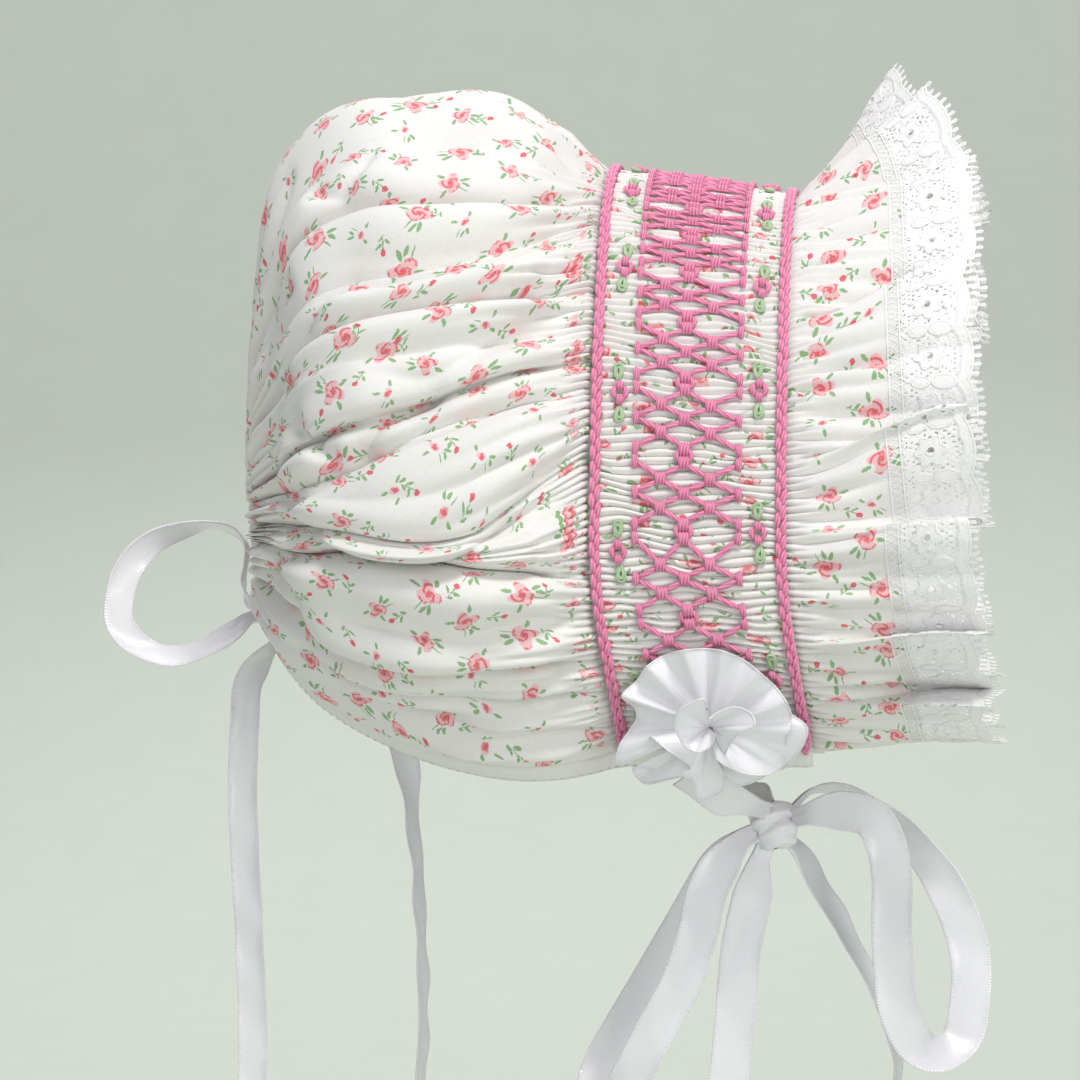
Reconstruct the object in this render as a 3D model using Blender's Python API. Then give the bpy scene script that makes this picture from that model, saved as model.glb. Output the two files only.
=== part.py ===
"""A baby's smocked cotton bonnet, worn and tied, in metres.

+Z is up, the face opening looks along -Y and the wearer's right is -X. The origin lies on the
band's inner face, at its top middle, where the bonnet sits on the top of a head.
"""

import math
from collections import namedtuple

import bmesh
import bpy
import numpy as np

# Head sizes: every section of the cloth is drawn round the line through the ears.
HEAD_RISE = 0.0920
HEAD_HALF_WIDTH = 0.0660
HEAD_LOW = 0.0580
NECK_ANGLE = 140.0

# Smocked band.
BAND_LENGTH = 0.0450
BAND_BACK = 0.0230
BAND_FALL = 0.0064
BAND_WALL = 0.0018
BAND_RIBS = 60
RIB_HEIGHT = 0.0014
END_LEAN = 0.0050
LEAN_FROM = 0.62

# Puffed crown and its drawn-up ring.
CROWN_LENGTH = 0.0850
CROWN_WALL = 0.0012
BACK_ROUNDING = 0.0090
FOLD_DEPTH = 0.0070
FOLD_FULLNESS = 0.75
LAP_PULL = 1.5
FAR_SHIFT = 0.0120
GATHER_HEIGHT = 0.0012
CROWN_FACET = 0.027
RING_RADIUS = 0.0220
RING_ABOVE_EAR = 0.0130
RING_ANGLE = 166.0
CASING_WIDTH = 0.0072
CASING_LENGTH = 0.0054
CASING_GATHERS = 24
CASING_GATHER_HEIGHT = 0.0010

# Front ruffle and lace edging.
RUFFLE_LENGTH = 0.0260
LACE_LENGTH = 0.0160
RUFFLE_WALL = 0.0010
LACE_WALL = 0.0010
WAVE_HEIGHT = 0.0055

# Hemmed strip along the neck edge.
BINDING_WIDTH = 0.0075
BINDING_WALL = 0.0016

# Satin ribbons, bows and rosettes.
CHIN_RIBBON = 0.0095
BACK_RIBBON = 0.0070
RIBBON_WALL = 0.0010
CHIN_LOOP = 0.0535
BACK_LOOP = 0.0400
CHIN_KNOT_ASIDE = 0.0150
CHIN_KNOT_FORWARD = 0.0166
CHIN_KNOT_BELOW_HEM = 0.0125
CHIN_KNOT = (0.0060, 0.0060, 0.0056)
BACK_KNOT = (0.0044, 0.0040, 0.0042)
TIE_PLACE = 0.34
TIE_SAG = 0.0012
TIE_ON_KNOT = (0.0010, 0.0035)
ROSETTE_RADIUS = 0.0210
ROSETTE_TURNS = 2.3
ROSETTE_WAVES = 10
ROSETTE_EYE = 0.16
ROSETTE_SHRINK = 0.27
ROSETTE_RISE = 0.0030
ROSETTE_WALL = 0.0010
ROSETTE_RUFFLE = 0.0022
ROSETTE_PLACE = 0.50
ROSETTE_AROUND = 0.920
ROSETTE_HEIGHT = 0.0018
CLOTH_LIFT = 0.0028

GAP = 0.0003

# The ear line and the ring's middle, under the origin.
EAR_DROP = HEAD_RISE - BAND_FALL / 2.0 - BAND_WALL
RING_DROP = EAR_DROP - RING_ABOVE_EAR

# One row for each cross-section of the crown, from the band (at 0) to the ring (at 1). The shares
# are of CROWN_LENGTH, then of what HEAD_RISE, HEAD_HALF_WIDTH and HEAD_LOW stand over RING_RADIUS,
# then of the way from EAR_DROP to RING_DROP and from NECK_ANGLE to RING_ANGLE.
Section = namedtuple("Section", "place back rise half_width low ear neck")
SECTIONS = (
    Section(0.00, 0.000, 1.000, 1.000, 1.000, 0.00, 0.00),
    Section(0.05, 0.059, 1.045, 1.100, 1.070, 0.08, 0.04),
    Section(0.12, 0.141, 1.117, 1.205, 1.170, 0.23, 0.08),
    Section(0.22, 0.282, 1.170, 1.300, 1.250, 0.46, 0.15),
    Section(0.33, 0.459, 1.157, 1.318, 1.220, 0.69, 0.23),
    Section(0.45, 0.650, 1.107, 1.250, 1.080, 0.92, 0.35),
    Section(0.57, 0.820, 0.985, 1.090, 0.860, 1.08, 0.46),
    Section(0.69, 0.930, 0.805, 0.852, 0.560, 1.15, 0.62),
    Section(0.81, 0.985, 0.545, 0.545, 0.280, 1.15, 0.77),
    Section(0.92, 0.988, 0.257, 0.227, 0.090, 1.08, 0.92),
    Section(1.00, 0.970, 0.000, 0.000, 0.000, 1.00, 1.00),
)

# One row for each fold line of the crown on the wearer's right. The first five shares say how far
# round the section it lies (0 at the top middle, 1 at the neck edge) at each of FOLD_STATIONS.
# depth is a share of FOLD_DEPTH, lap is above 0 where the fold above hangs over the line and below
# 0 where the fold below laps up over it, and reach is the place at which the line has faded out.
FOLD_STATIONS = (0.00, 0.12, 0.30, 0.50, 0.75)
Fold = namedtuple("Fold", "name start front middle rear ring depth lap reach")
FOLDS = (
    Fold("top_dimple", 0.131, 0.193, 0.202, 0.212, 0.230, 0.35, 0.0, 1.2),
    Fold("upper_valley", 0.181, 0.255, 0.292, 0.287, 0.290, 0.85, 0.3, 1.2),
    Fold("upper_lap", 0.233, 0.317, 0.376, 0.387, 0.389, 0.50, -0.3, 1.2),
    Fold("shoulder_valley", 0.342, 0.381, 0.416, 0.432, 0.430, 0.85, 0.4, 1.2),
    Fold("ear_dimple", 0.386, 0.425, 0.462, 0.480, 0.485, 0.35, 0.0, 0.5),
    Fold("ear_valley", 0.432, 0.463, 0.505, 0.530, 0.530, 1.00, 0.5, 1.2),
    Fold("ear_lap", 0.468, 0.500, 0.545, 0.575, 0.580, 0.60, -0.5, 1.2),
    Fold("centre_valley", 0.540, 0.590, 0.650, 0.646, 0.640, 1.00, 0.4, 1.2),
    Fold("cheek_lap", 0.675, 0.680, 0.692, 0.702, 0.710, 0.90, -0.5, 1.2),
    Fold("nape_pleat", 0.750, 0.755, 0.780, 0.785, 0.780, 0.40, 0.0, 0.4),
    Fold("lower_valley", 0.815, 0.825, 0.850, 0.862, 0.850, 0.80, 0.0, 1.2),
    Fold("hem_fold", 0.872, 0.880, 0.905, 0.915, 0.910, 0.60, 0.0, 0.7),
    Fold("hem_pleat", 0.936, 0.940, 0.955, 0.960, 0.960, 0.40, 0.0, 0.4),
)
CENTRE_FOLD = Fold("centre_dimple", 0.0, 0.0, 0.0, 0.0, 0.0, 0.30, 0.0, 1.2)
CROWN_PLACES = (0.0, 0.035, 0.09, 0.18, 0.29, 0.42, 0.55, 0.68, 0.80, 0.91, 1.0)

# How far round the ruffle's folds begin, from the top middle down to the neck edge, how much the
# ruffle spreads there, in degrees, and how far it reaches, as a share of its whole length.
Wave = namedtuple("Wave", "start flare reach")
WAVES = (
    Wave(0.000, 51.0, 0.90),
    Wave(0.140, 46.0, 0.95),
    Wave(0.285, 33.0, 1.00),
    Wave(0.448, 18.0, 1.00),
    Wave(0.572, 11.0, 1.00),
    Wave(0.690, 9.0, 1.00),
    Wave(0.850, 7.0, 1.00),
    Wave(1.000, 4.0, 1.00),
)
WAVE_FACETS = 7
WAVE_SKEW = 1.35
RUFFLE_ROWS = (0.0, 0.12, 0.34, 0.62, 1.0)
LACE_ROWS = (0.0, 0.5, 1.0)

# Points of the ribbons, as shares of their loop's length from the middle of the knot: forward,
# down and to the wearer's left. turn is 0 where the ribbon's width lies along X, and 90 across it.
Bend = namedtuple("Bend", "forward down aside turn")
CHIN_LOOP_FRONT = (
    Bend(0.14, -0.05, -0.09, 80),
    Bend(0.30, -0.07, -0.11, 80),
    Bend(0.43, -0.04, -0.13, 82),
    Bend(0.49, 0.06, -0.15, 84),
    Bend(0.52, 0.22, -0.16, 88),
    Bend(0.52, 0.42, -0.17, 90),
    Bend(0.53, 0.62, -0.17, 90),
    Bend(0.56, 0.82, -0.16, 88),
    Bend(0.63, 0.95, -0.12, 74),
    Bend(0.72, 1.00, -0.04, 62),
    Bend(0.82, 0.94, 0.04, 74),
    Bend(0.86, 0.76, 0.08, 88),
    Bend(0.86, 0.58, 0.11, 90),
    Bend(0.82, 0.43, 0.12, 86),
    Bend(0.75, 0.27, 0.13, 74),
    Bend(0.64, 0.12, 0.14, 56),
    Bend(0.54, -0.01, 0.14, 36),
    Bend(0.43, -0.10, 0.13, 22),
    Bend(0.31, -0.15, 0.12, 16),
    Bend(0.17, -0.15, 0.11, 14),
)
CHIN_LOOP_BACK = (
    Bend(-0.12, 0.05, 0.04, 78),
    Bend(-0.19, 0.10, 0.07, 80),
    Bend(-0.26, 0.20, 0.10, 84),
    Bend(-0.40, 0.44, 0.14, 90),
    Bend(-0.54, 0.68, 0.15, 90),
    Bend(-0.67, 0.90, 0.13, 88),
    Bend(-0.76, 1.06, 0.08, 78),
    Bend(-0.78, 1.17, -0.02, 66),
    Bend(-0.71, 1.22, -0.12, 66),
    Bend(-0.61, 1.08, -0.19, 78),
    Bend(-0.51, 0.89, -0.22, 88),
    Bend(-0.41, 0.71, -0.22, 92),
    Bend(-0.33, 0.48, -0.19, 94),
    Bend(-0.28, 0.27, -0.16, 90),
    Bend(-0.20, 0.13, -0.12, 84),
    Bend(-0.12, 0.05, -0.09, 80),
)
CHIN_TAIL_BACK = (
    Bend(-0.06, 0.15, -0.05, 78),
    Bend(-0.09, 0.29, -0.05, 80),
    Bend(-0.14, 0.53, -0.07, 86),
    Bend(-0.17, 0.85, -0.07, 82),
    Bend(-0.20, 1.15, -0.06, 78),
    Bend(-0.23, 1.40, -0.05, 76),
)
CHIN_TAIL_FRONT = (
    Bend(0.10, 0.12, 0.13, 30),
    Bend(0.22, 0.34, 0.20, 26),
    Bend(0.38, 0.62, 0.26, 18),
    Bend(0.48, 0.87, 0.29, 12),
    Bend(0.53, 1.05, 0.29, 10),
    Bend(0.52, 1.25, 0.28, 14),
    Bend(0.50, 1.47, 0.27, 20),
)
BACK_LOOP_LEFT = (
    Bend(-0.13, -0.03, 0.15, 24),
    Bend(-0.24, -0.13, 0.30, 18),
    Bend(-0.24, -0.27, 0.40, 8),
    Bend(-0.24, -0.41, 0.42, 6),
    Bend(-0.34, -0.50, 0.36, 14),
    Bend(-0.50, -0.52, 0.22, 24),
    Bend(-0.64, -0.48, 0.12, 38),
    Bend(-0.77, -0.41, 0.03, 54),
    Bend(-0.88, -0.28, -0.05, 68),
    Bend(-0.93, -0.11, -0.10, 74),
    Bend(-0.93, 0.05, -0.13, 70),
    Bend(-0.84, 0.18, -0.15, 56),
    Bend(-0.69, 0.25, -0.17, 40),
    Bend(-0.54, 0.26, -0.18, 40),
    Bend(-0.38, 0.20, -0.17, 48),
    Bend(-0.24, 0.11, -0.12, 56),
    Bend(-0.14, 0.03, -0.03, 60),
)
BACK_TAIL_RIGHT = (
    Bend(0.01, 0.17, -0.07, 16),
    Bend(-0.06, 0.27, -0.10, 50),
    Bend(-0.14, 0.41, -0.14, 74),
    Bend(-0.16, 0.66, -0.17, 82),
    Bend(-0.17, 1.10, -0.18, 88),
    Bend(-0.15, 1.55, -0.18, 94),
    Bend(-0.13, 1.95, -0.18, 96),
    Bend(-0.11, 2.40, -0.18, 90),
    Bend(-0.11, 2.80, -0.18, 84),
    Bend(-0.11, 3.18, -0.18, 86),
)

# Points of the ribbons that lie on the crown's far side: how far round, how far back, how far off
# the cloth as a share of CLOTH_LIFT, and the turn of the ribbon's width from the way round.
Lie = namedtuple("Lie", "around place off turn")
FAR_LOOP = (
    Lie(0.965, 0.880, 1.0, 90),
    Lie(0.880, 0.830, 1.0, 70),
    Lie(0.800, 0.740, 1.0, 40),
    Lie(0.740, 0.660, 1.5, 20),
    Lie(0.690, 0.680, 2.4, 0),
    Lie(0.720, 0.750, 3.0, -20),
    Lie(0.820, 0.820, 2.6, -45),
    Lie(0.930, 0.860, 2.3, -70),
)
FAR_TAIL = (
    Lie(1.040, 0.800, 1.0, 90),
    Lie(1.015, 0.700, 1.0, 90),
    Lie(1.005, 0.580, 1.2, 88),
    Lie(1.005, 0.470, 1.6, 84),
)
# What hangs below the neck edge of that tail: forward and down from its last point, as shares of
# BACK_LOOP, and the turn of its width.
Hang = namedtuple("Hang", "forward down turn")
FAR_TAIL_HANG = (
    Hang(0.05, 0.18, 60),
    Hang(0.08, 0.40, 30),
    Hang(0.12, 0.86, 16),
    Hang(0.15, 1.32, 14),
    Hang(0.16, 1.78, 12),
    Hang(0.14, 2.36, 16),
)


def smooth(low, high, x):
    """0 at low, 1 at high, with level ends."""
    share = np.clip((np.asarray(x, float) - low) / (high - low), 0.0, 1.0)
    return share * share * (3.0 - 2.0 * share)


def curve(places, values, x):
    """A smooth curve through values at places, read at x; values may be points."""
    places = np.asarray(places, float)
    values = np.asarray(values, float)
    x = np.clip(np.asarray(x, float), places[0], places[-1])
    slopes = np.gradient(values, places, axis=0)
    i = np.clip(np.searchsorted(places, x, side="right") - 1, 0, len(places) - 2)
    step = places[i + 1] - places[i]
    u = (x - places[i]) / step
    if values.ndim > 1:
        u = u[..., None]
        step = step[..., None]
    start = (1.0 + 2.0 * u) * (1.0 - u) ** 2 * values[i] + u * (1.0 - u) ** 2 * step * slopes[i]
    end = u * u * (3.0 - 2.0 * u) * values[i + 1] + u * u * (u - 1.0) * step * slopes[i + 1]
    return start + end


def column(rows, name, x):
    """One named column of a table, as a smooth curve over the table's first column."""
    return curve([row[0] for row in rows], [getattr(row, name) for row in rows], x)


def round_section(around, back, rise, half_width, low, ear, neck):
    """Points of a section: half an oval over the ear line and a flatter one under it."""
    angle = np.radians(around * neck)
    height = np.where(np.cos(angle) > 0.0, rise, low)
    x = half_width * np.sin(angle)
    z = -ear + height * np.cos(angle)
    return np.stack(np.broadcast_arrays(x, back, z), axis=-1)


def end_lean(around):
    """How far the cloth leans forward towards the neck edge."""
    return -END_LEAN * smooth(LEAN_FROM, 1.0, np.abs(around))


def crown_envelope(around, place):
    """The crown's outer face before its folds; around runs from -1 to 1, place from 0 to 1."""
    back = BAND_BACK + CROWN_LENGTH * column(SECTIONS, "back", place)
    rise = RING_RADIUS + (HEAD_RISE - RING_RADIUS) * column(SECTIONS, "rise", place)
    half_width = RING_RADIUS + (HEAD_HALF_WIDTH - RING_RADIUS) * column(SECTIONS, "half_width", place)
    low = RING_RADIUS + (HEAD_LOW - RING_RADIUS) * column(SECTIONS, "low", place)
    ear = EAR_DROP + (RING_DROP - EAR_DROP) * column(SECTIONS, "ear", place)
    neck = NECK_ANGLE + (RING_ANGLE - NECK_ANGLE) * column(SECTIONS, "neck", place)
    sides = np.sin(np.radians(around * neck)) ** 2
    rounding = BACK_ROUNDING * sides * smooth(0.3, 0.8, place) * (1.0 - smooth(0.75, 1.0, place))
    back = back + end_lean(around) * (1.0 - place) - rounding
    return round_section(around, back, rise, half_width, low, ear, neck)


def band_surface(around, place):
    """The band's outer face; place runs from 0 at the crown to 1 at the ruffle."""
    back = BAND_BACK - GAP - (BAND_LENGTH - 2.0 * GAP) * place + end_lean(around)
    fall = BAND_FALL * place
    return round_section(around, back, HEAD_RISE - fall, HEAD_HALF_WIDTH, HEAD_LOW, EAR_DROP, NECK_ANGLE)


def fold_lines(places):
    """(around, depth, lap) of every fold line, one row each, from the wearer's right to the left."""
    rows = []
    for number, fold in enumerate(FOLDS):
        shares = curve(FOLD_STATIONS, fold[1:6], places)
        fade = 1.0 - smooth(fold.reach - 0.2, fold.reach, places)
        shift = FAR_SHIFT * math.sin(2.4 * number)
        rows.append((-shares, fold.depth * fade, -fold.lap))
        rows.append((shares + shift, fold.depth * fade, fold.lap))
    rows.append((0.0 * places, CENTRE_FOLD.depth + 0.0 * places, 0.0))
    edge = np.ones_like(places)
    rows.append((-edge, 0.0 * edge, 0.0))
    rows.append((edge, 0.0 * edge, 0.0))
    rows.sort(key=lambda row: row[0][0])
    return rows


def fold_panels(places, facet):
    """Grids of around and of fold depth over the crown, with a column on every fold line."""
    rows = fold_lines(places)
    around = []
    depth = []
    for (start, start_depth, start_lap), (end, end_depth, end_lap) in zip(rows, rows[1:]):
        pull = max(end_lap, 0.0) - max(-start_lap, 0.0)
        count = max(2, round(float(np.mean(end - start)) / facet))
        for step in range(count):
            share = step / count
            puff = math.sin(math.pi * share ** (2.0 ** (LAP_PULL * pull))) ** FOLD_FULLNESS
            around.append(start + (end - start) * share)
            depth.append((1.0 - puff) * (start_depth * (1.0 - share) + end_depth * share))
    around.append(rows[-1][0])
    depth.append(0.0 * places)
    shallow_ends = (0.3 + 0.7 * smooth(0.0, 0.12, places)) * (1.0 - 0.55 * smooth(0.75, 1.0, places))
    return np.array(around), np.array(depth) * shallow_ends


def normals(grid):
    """Unit normals of a grid of points."""
    across = np.gradient(grid, axis=0)
    along = np.gradient(grid, axis=1)
    normal = np.cross(across, along)
    return normal / np.maximum(np.linalg.norm(normal, axis=-1, keepdims=True), 1e-12)


def make_material(name, color, roughness):
    material = bpy.data.materials.new(name)
    material.use_nodes = True
    shader = material.node_tree.nodes["Principled BSDF"]
    shader.inputs["Base Color"].default_value = (*color, 1.0)
    shader.inputs["Roughness"].default_value = roughness
    shader.inputs["Metallic"].default_value = 0.0
    return material


def cotton(name):
    return make_material(name, (0.90, 0.88, 0.86), 0.85)


def lace_cotton(name):
    return make_material(name, (0.93, 0.92, 0.90), 0.90)


def satin(name):
    return make_material(name, (0.88, 0.88, 0.93), 0.35)


def add_body(name, vertices, faces, material, smooth_below=50.0):
    """A closed mesh object with its faces turned outwards."""
    mesh = bpy.data.meshes.new(name)
    mesh.from_pydata([tuple(map(float, v)) for v in vertices], [], faces)
    shape = bmesh.new()
    shape.from_mesh(mesh)
    bmesh.ops.recalc_face_normals(shape, faces=shape.faces)
    shape.to_mesh(mesh)
    shape.free()
    mesh.shade_smooth()
    mesh.set_sharp_from_angle(angle=math.radians(smooth_below))
    mesh.materials.append(material)
    body = bpy.data.objects.new(name, mesh)
    bpy.context.scene.collection.objects.link(body)
    return body


def facing_out(grid):
    """Unit normals of a grid round the head, turned away from the line through the ears."""
    normal = normals(grid)
    return normal if float(np.sum(normal * outward_of(grid))) > 0.0 else -normal


def sheet_body(name, outer, facing, wall, material):
    """A sheet of cloth: the grid of its outer face, the same grid a wall inwards, and its rims."""
    inner = outer - wall * facing
    rows, columns = outer.shape[:2]
    count = rows * columns
    number = np.arange(count).reshape(rows, columns)
    faces = []
    for i in range(rows - 1):
        for j in range(columns - 1):
            quad = [number[i, j], number[i + 1, j], number[i + 1, j + 1], number[i, j + 1]]
            faces.append([int(v) for v in quad])
            faces.append([int(v) + count for v in reversed(quad)])
    rim = list(number[:, 0]) + list(number[-1, 1:]) + list(number[-2::-1, -1]) + list(number[0, -2:0:-1])
    for a, b in zip(rim, rim[1:] + rim[:1]):
        faces.append([int(b), int(a), int(a) + count, int(b) + count])
    vertices = np.concatenate([outer.reshape(-1, 3), inner.reshape(-1, 3)])
    return add_body(name, vertices, faces, material)


def tube_body(name, grid, material):
    """A closed ring of sections: the grid is closed both ways."""
    rows, columns = grid.shape[:2]
    faces = []
    for i in range(rows):
        for j in range(columns):
            here = i * columns
            after = (i + 1) % rows * columns
            beside = (j + 1) % columns
            faces.append([here + j, after + j, after + beside, here + beside])
    return add_body(name, grid.reshape(-1, 3), faces, material)


def outward_of(grid):
    """Directions that point away from the ear line, for a grid round the head."""
    away = grid * (1.0, 0.0, 1.0)
    away[..., 2] += EAR_DROP
    return away


def ribs(count, height, fade):
    """A zigzag over count columns, with fade saying how much of it shows in each row."""
    sign = np.where(np.arange(count) % 2 == 0, 0.5, -0.5)
    return height * sign[:, None] * fade[None, :]


def build_crown():
    places = np.array(CROWN_PLACES)
    around, depth = fold_panels(places, CROWN_FACET)
    envelope = crown_envelope(around, np.broadcast_to(places, around.shape))
    out = facing_out(envelope)
    fade = (1.0 - smooth(0.0, 0.18, places)) + smooth(0.84, 1.0, places)
    relief = ribs(len(around), GATHER_HEIGHT, fade) - FOLD_DEPTH * depth
    outer = envelope + out * relief[..., None]
    return sheet_body("crown", outer, facing_out(outer), CROWN_WALL, cotton("crown_cotton"))


def build_band():
    columns = 2 * BAND_RIBS + 1
    places = np.array([0.0, 0.5, 1.0])
    around, place = np.meshgrid(np.linspace(-1.0, 1.0, columns), places, indexing="ij")
    face = band_surface(around, place)
    out = facing_out(face)
    outer = face + out * ribs(columns, RIB_HEIGHT, np.ones(len(places)))[..., None]
    return sheet_body("smocked_band", outer, out, BAND_WALL, cotton("band_cotton"))


def wave_columns():
    """Around, flare, reach and bulge of the ruffle's columns, from the wearer's right to the left."""
    lines = [wave._replace(start=-wave.start) for wave in reversed(WAVES[1:])] + list(WAVES)
    columns = []
    for begin, end in zip(lines, lines[1:]):
        skew = WAVE_SKEW if begin.start >= 0.0 else 1.0 / WAVE_SKEW
        for step in range(WAVE_FACETS):
            share = step / WAVE_FACETS
            bulge = 0.5 - (2.0 * share**skew - 1.0) ** 2
            mixed = [a + (b - a) * share for a, b in zip(begin, end)]
            columns.append((*mixed, bulge))
    columns.append((*lines[-1], -0.5))
    return np.array(columns).T


def wave_grid(rows, start, length):
    """The ruffle's outer face from start to start + length along the cloth, folds and all."""
    around, flare, reach, bulge = (column[:, None] for column in wave_columns())
    flare = np.radians(flare)
    whole = RUFFLE_LENGTH + GAP + LACE_LENGTH
    run = (start + length * np.array(rows))[None, :] * reach
    share = run / whole
    foot = band_surface(around, np.ones_like(around)) + np.array([0.0, -GAP, 0.0])
    out = outward_of(foot) / np.linalg.norm(outward_of(foot), axis=-1, keepdims=True)
    rise = run * np.sin(flare) * (0.75 + 0.25 * share)
    rise = rise + WAVE_HEIGHT * bulge * smooth(0.0, 1.0, share) * (1.0 + 0.4 * share)
    point = foot + out * rise[..., None]
    point[..., 1] -= run * np.cos(flare)
    return point


def build_ruffle():
    outer = wave_grid(RUFFLE_ROWS, 0.0, RUFFLE_LENGTH)
    return sheet_body("front_ruffle", outer, facing_out(outer), RUFFLE_WALL, cotton("ruffle_cotton"))


def build_lace():
    outer = wave_grid(LACE_ROWS, RUFFLE_LENGTH + GAP, LACE_LENGTH)
    return sheet_body("lace_edging", outer, facing_out(outer), LACE_WALL, lace_cotton("lace_thread"))


def neck_edge(side, places):
    """The neck edge of band and crown, and the way on round the section from it.

    places run from -1 at the ruffle through 0 at the band's back to 1 at the ring.
    """
    places = np.asarray(places, float)
    around = np.array([side, side * 0.995])[:, None]
    band = band_surface(around, np.clip(-places, 0.0, 1.0)[None, :])
    crown = crown_envelope(around, np.clip(places, 0.0, 1.0)[None, :])
    edge = np.where((places < 0.0)[None, :, None], band, crown)
    onward = edge[0] - edge[1]
    return edge[0], onward / np.linalg.norm(onward, axis=-1, keepdims=True)


def binding_width(places):
    return BINDING_WIDTH * (1.0 - 0.6 * smooth(0.45, 0.85, places))


def build_binding(name, side):
    """A hemmed strip that goes on from the neck edge, from the ruffle to just short of the ring."""
    places = np.concatenate([np.linspace(-1.0, -0.02, 5), np.linspace(0.02, 0.82, 10)])
    edge, onward = neck_edge(side, places)
    steps = np.array([0.0, 0.5, 1.0])[None, :, None]
    width = (binding_width(places) - GAP)[:, None, None]
    grid = edge[:, None, :] + onward[:, None, :] * (2.0 * GAP + width * steps)
    return sheet_body(name, grid, facing_out(grid), BINDING_WALL, cotton(name + "_cotton"))


def build_casing():
    """The bunched channel at the middle of the back, drawn up round an open hole."""
    turns = 2 * CASING_GATHERS
    angle = np.linspace(0.0, 2.0 * np.pi, turns, endpoint=False)
    section = np.linspace(0.0, 2.0 * np.pi, 6, endpoint=False)
    gather = np.where(np.arange(turns) % 2 == 0, 0.5, -0.5) * CASING_GATHER_HEIGHT
    middle = RING_RADIUS - GAP - CASING_GATHER_HEIGHT / 2.0 - CASING_WIDTH / 2.0
    radius = middle + (CASING_WIDTH / 2.0 + gather)[:, None] * np.cos(section)[None, :]
    back = (CASING_LENGTH / 2.0 + gather)[:, None] * np.sin(section)[None, :]
    x = radius * np.sin(angle)[:, None]
    y = BAND_BACK + CROWN_LENGTH * column(SECTIONS, "back", 1.0) - CROWN_WALL / 2.0 + back
    z = -RING_DROP + radius * np.cos(angle)[:, None]
    return tube_body("back_casing", np.stack([x, y, z], axis=-1), cotton("casing_cotton"))


def rosette_frame(side):
    """Centre, outward normal and in-plane axes of a rosette on the band's lower end."""
    step = 0.01
    place = np.array(ROSETTE_PLACE)
    around = np.array(side * ROSETTE_AROUND)
    centre = band_surface(around, place)
    upward = band_surface(around - side * step, place) - centre
    upward = upward * (1.0, 0.0, 1.0)
    upward = upward / np.linalg.norm(upward)
    forward = np.array([0.0, -1.0, 0.0])
    out = np.cross(upward, forward)
    out = out * (1.0 if out[0] * side > 0.0 else -1.0)
    return centre, out, upward, forward


def build_rosette(name, side):
    """A satin ribbon wound into a flat spiral, its outer edge full and ruffled."""
    centre, out, upward, forward = rosette_frame(side)
    steps = 37
    turn = np.linspace(0.0, ROSETTE_TURNS, steps + 1)[:, None]
    across = np.array([0.0, 0.55, 1.0])[None, :]
    outer = ROSETTE_RADIUS * (1.0 - ROSETTE_SHRINK * turn)
    inner = ROSETTE_EYE * ROSETTE_RADIUS
    ruffle = 0.5 - 0.5 * np.cos(2.0 * np.pi * ROSETTE_WAVES * turn)
    radius = inner + (outer - inner) * across
    height = ROSETTE_HEIGHT + ROSETTE_RISE * turn + ROSETTE_RUFFLE * ruffle * across**2
    angle = 2.0 * np.pi * turn * side
    grid = (
        centre
        + out * height[..., None]
        + upward * (radius * np.cos(angle))[..., None]
        + forward * (radius * np.sin(angle))[..., None]
    )
    facing = np.broadcast_to(out, grid.shape)
    return sheet_body(name, grid, facing, ROSETTE_WALL, satin(name + "_satin"))


def build_knot(name, centre, radii):
    """A tight wrapped knot, as a plain egg that the ribbons end at."""
    around = np.linspace(0.0, 2.0 * np.pi, 12, endpoint=False)
    up = np.linspace(-0.5 * np.pi, 0.5 * np.pi, 9)[1:-1]
    vertices = [np.array([0.0, 0.0, -radii[2]])]
    for tilt in up:
        for turn in around:
            level = math.cos(tilt)
            spot = np.array([math.cos(turn) * level, math.sin(turn) * level, math.sin(tilt)])
            vertices.append(spot * radii)
    vertices.append(np.array([0.0, 0.0, radii[2]]))
    count = len(around)
    last = len(vertices) - 1
    faces = []
    for j in range(count):
        beside = (j + 1) % count
        faces.append([0, 1 + beside, 1 + j])
        faces.append([last, last - count + j, last - count + beside])
        for i in range(len(up) - 1):
            low = 1 + i * count
            faces.append([low + j, low + beside, low + count + beside, low + count + j])
    return add_body(name, np.array(vertices) + centre, faces, satin(name + "_satin"))


def ribbon_body(name, points, across, width, samples):
    """A flat ribbon along a smooth curve through points, with across the way of its width."""
    points = np.asarray(points, float)
    lengths = np.concatenate([[0.0], np.cumsum(np.linalg.norm(np.diff(points, axis=0), axis=1))])
    places = np.linspace(0.0, lengths[-1], samples)
    path = curve(lengths, points, places)
    side = curve(lengths, across, places)
    tangent = np.gradient(path, axis=0)
    tangent /= np.linalg.norm(tangent, axis=1, keepdims=True)
    side = side - tangent * np.sum(side * tangent, axis=1, keepdims=True)
    side /= np.linalg.norm(side, axis=1, keepdims=True)
    face = np.cross(tangent, side)
    middle = path + face * RIBBON_WALL / 2.0
    grid = np.stack([middle - side * width / 2.0, middle + side * width / 2.0], axis=1)
    facing = np.stack([face, face], axis=1)
    return sheet_body(name, grid, facing, RIBBON_WALL, satin(name + "_satin"))


def turned(points, turns):
    """The way of a ribbon's width at each point, for turns from the X axis, in degrees."""
    tangent = np.gradient(np.asarray(points, float), axis=0)
    tangent /= np.linalg.norm(tangent, axis=1, keepdims=True)
    level = np.array([1.0, 0.0, 0.0]) - tangent * tangent[:, :1]
    level /= np.linalg.norm(level, axis=1, keepdims=True)
    upright = np.cross(tangent, level)
    angle = np.radians(np.asarray(turns, float))[:, None]
    return np.cos(angle) * level + np.sin(angle) * upright


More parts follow.
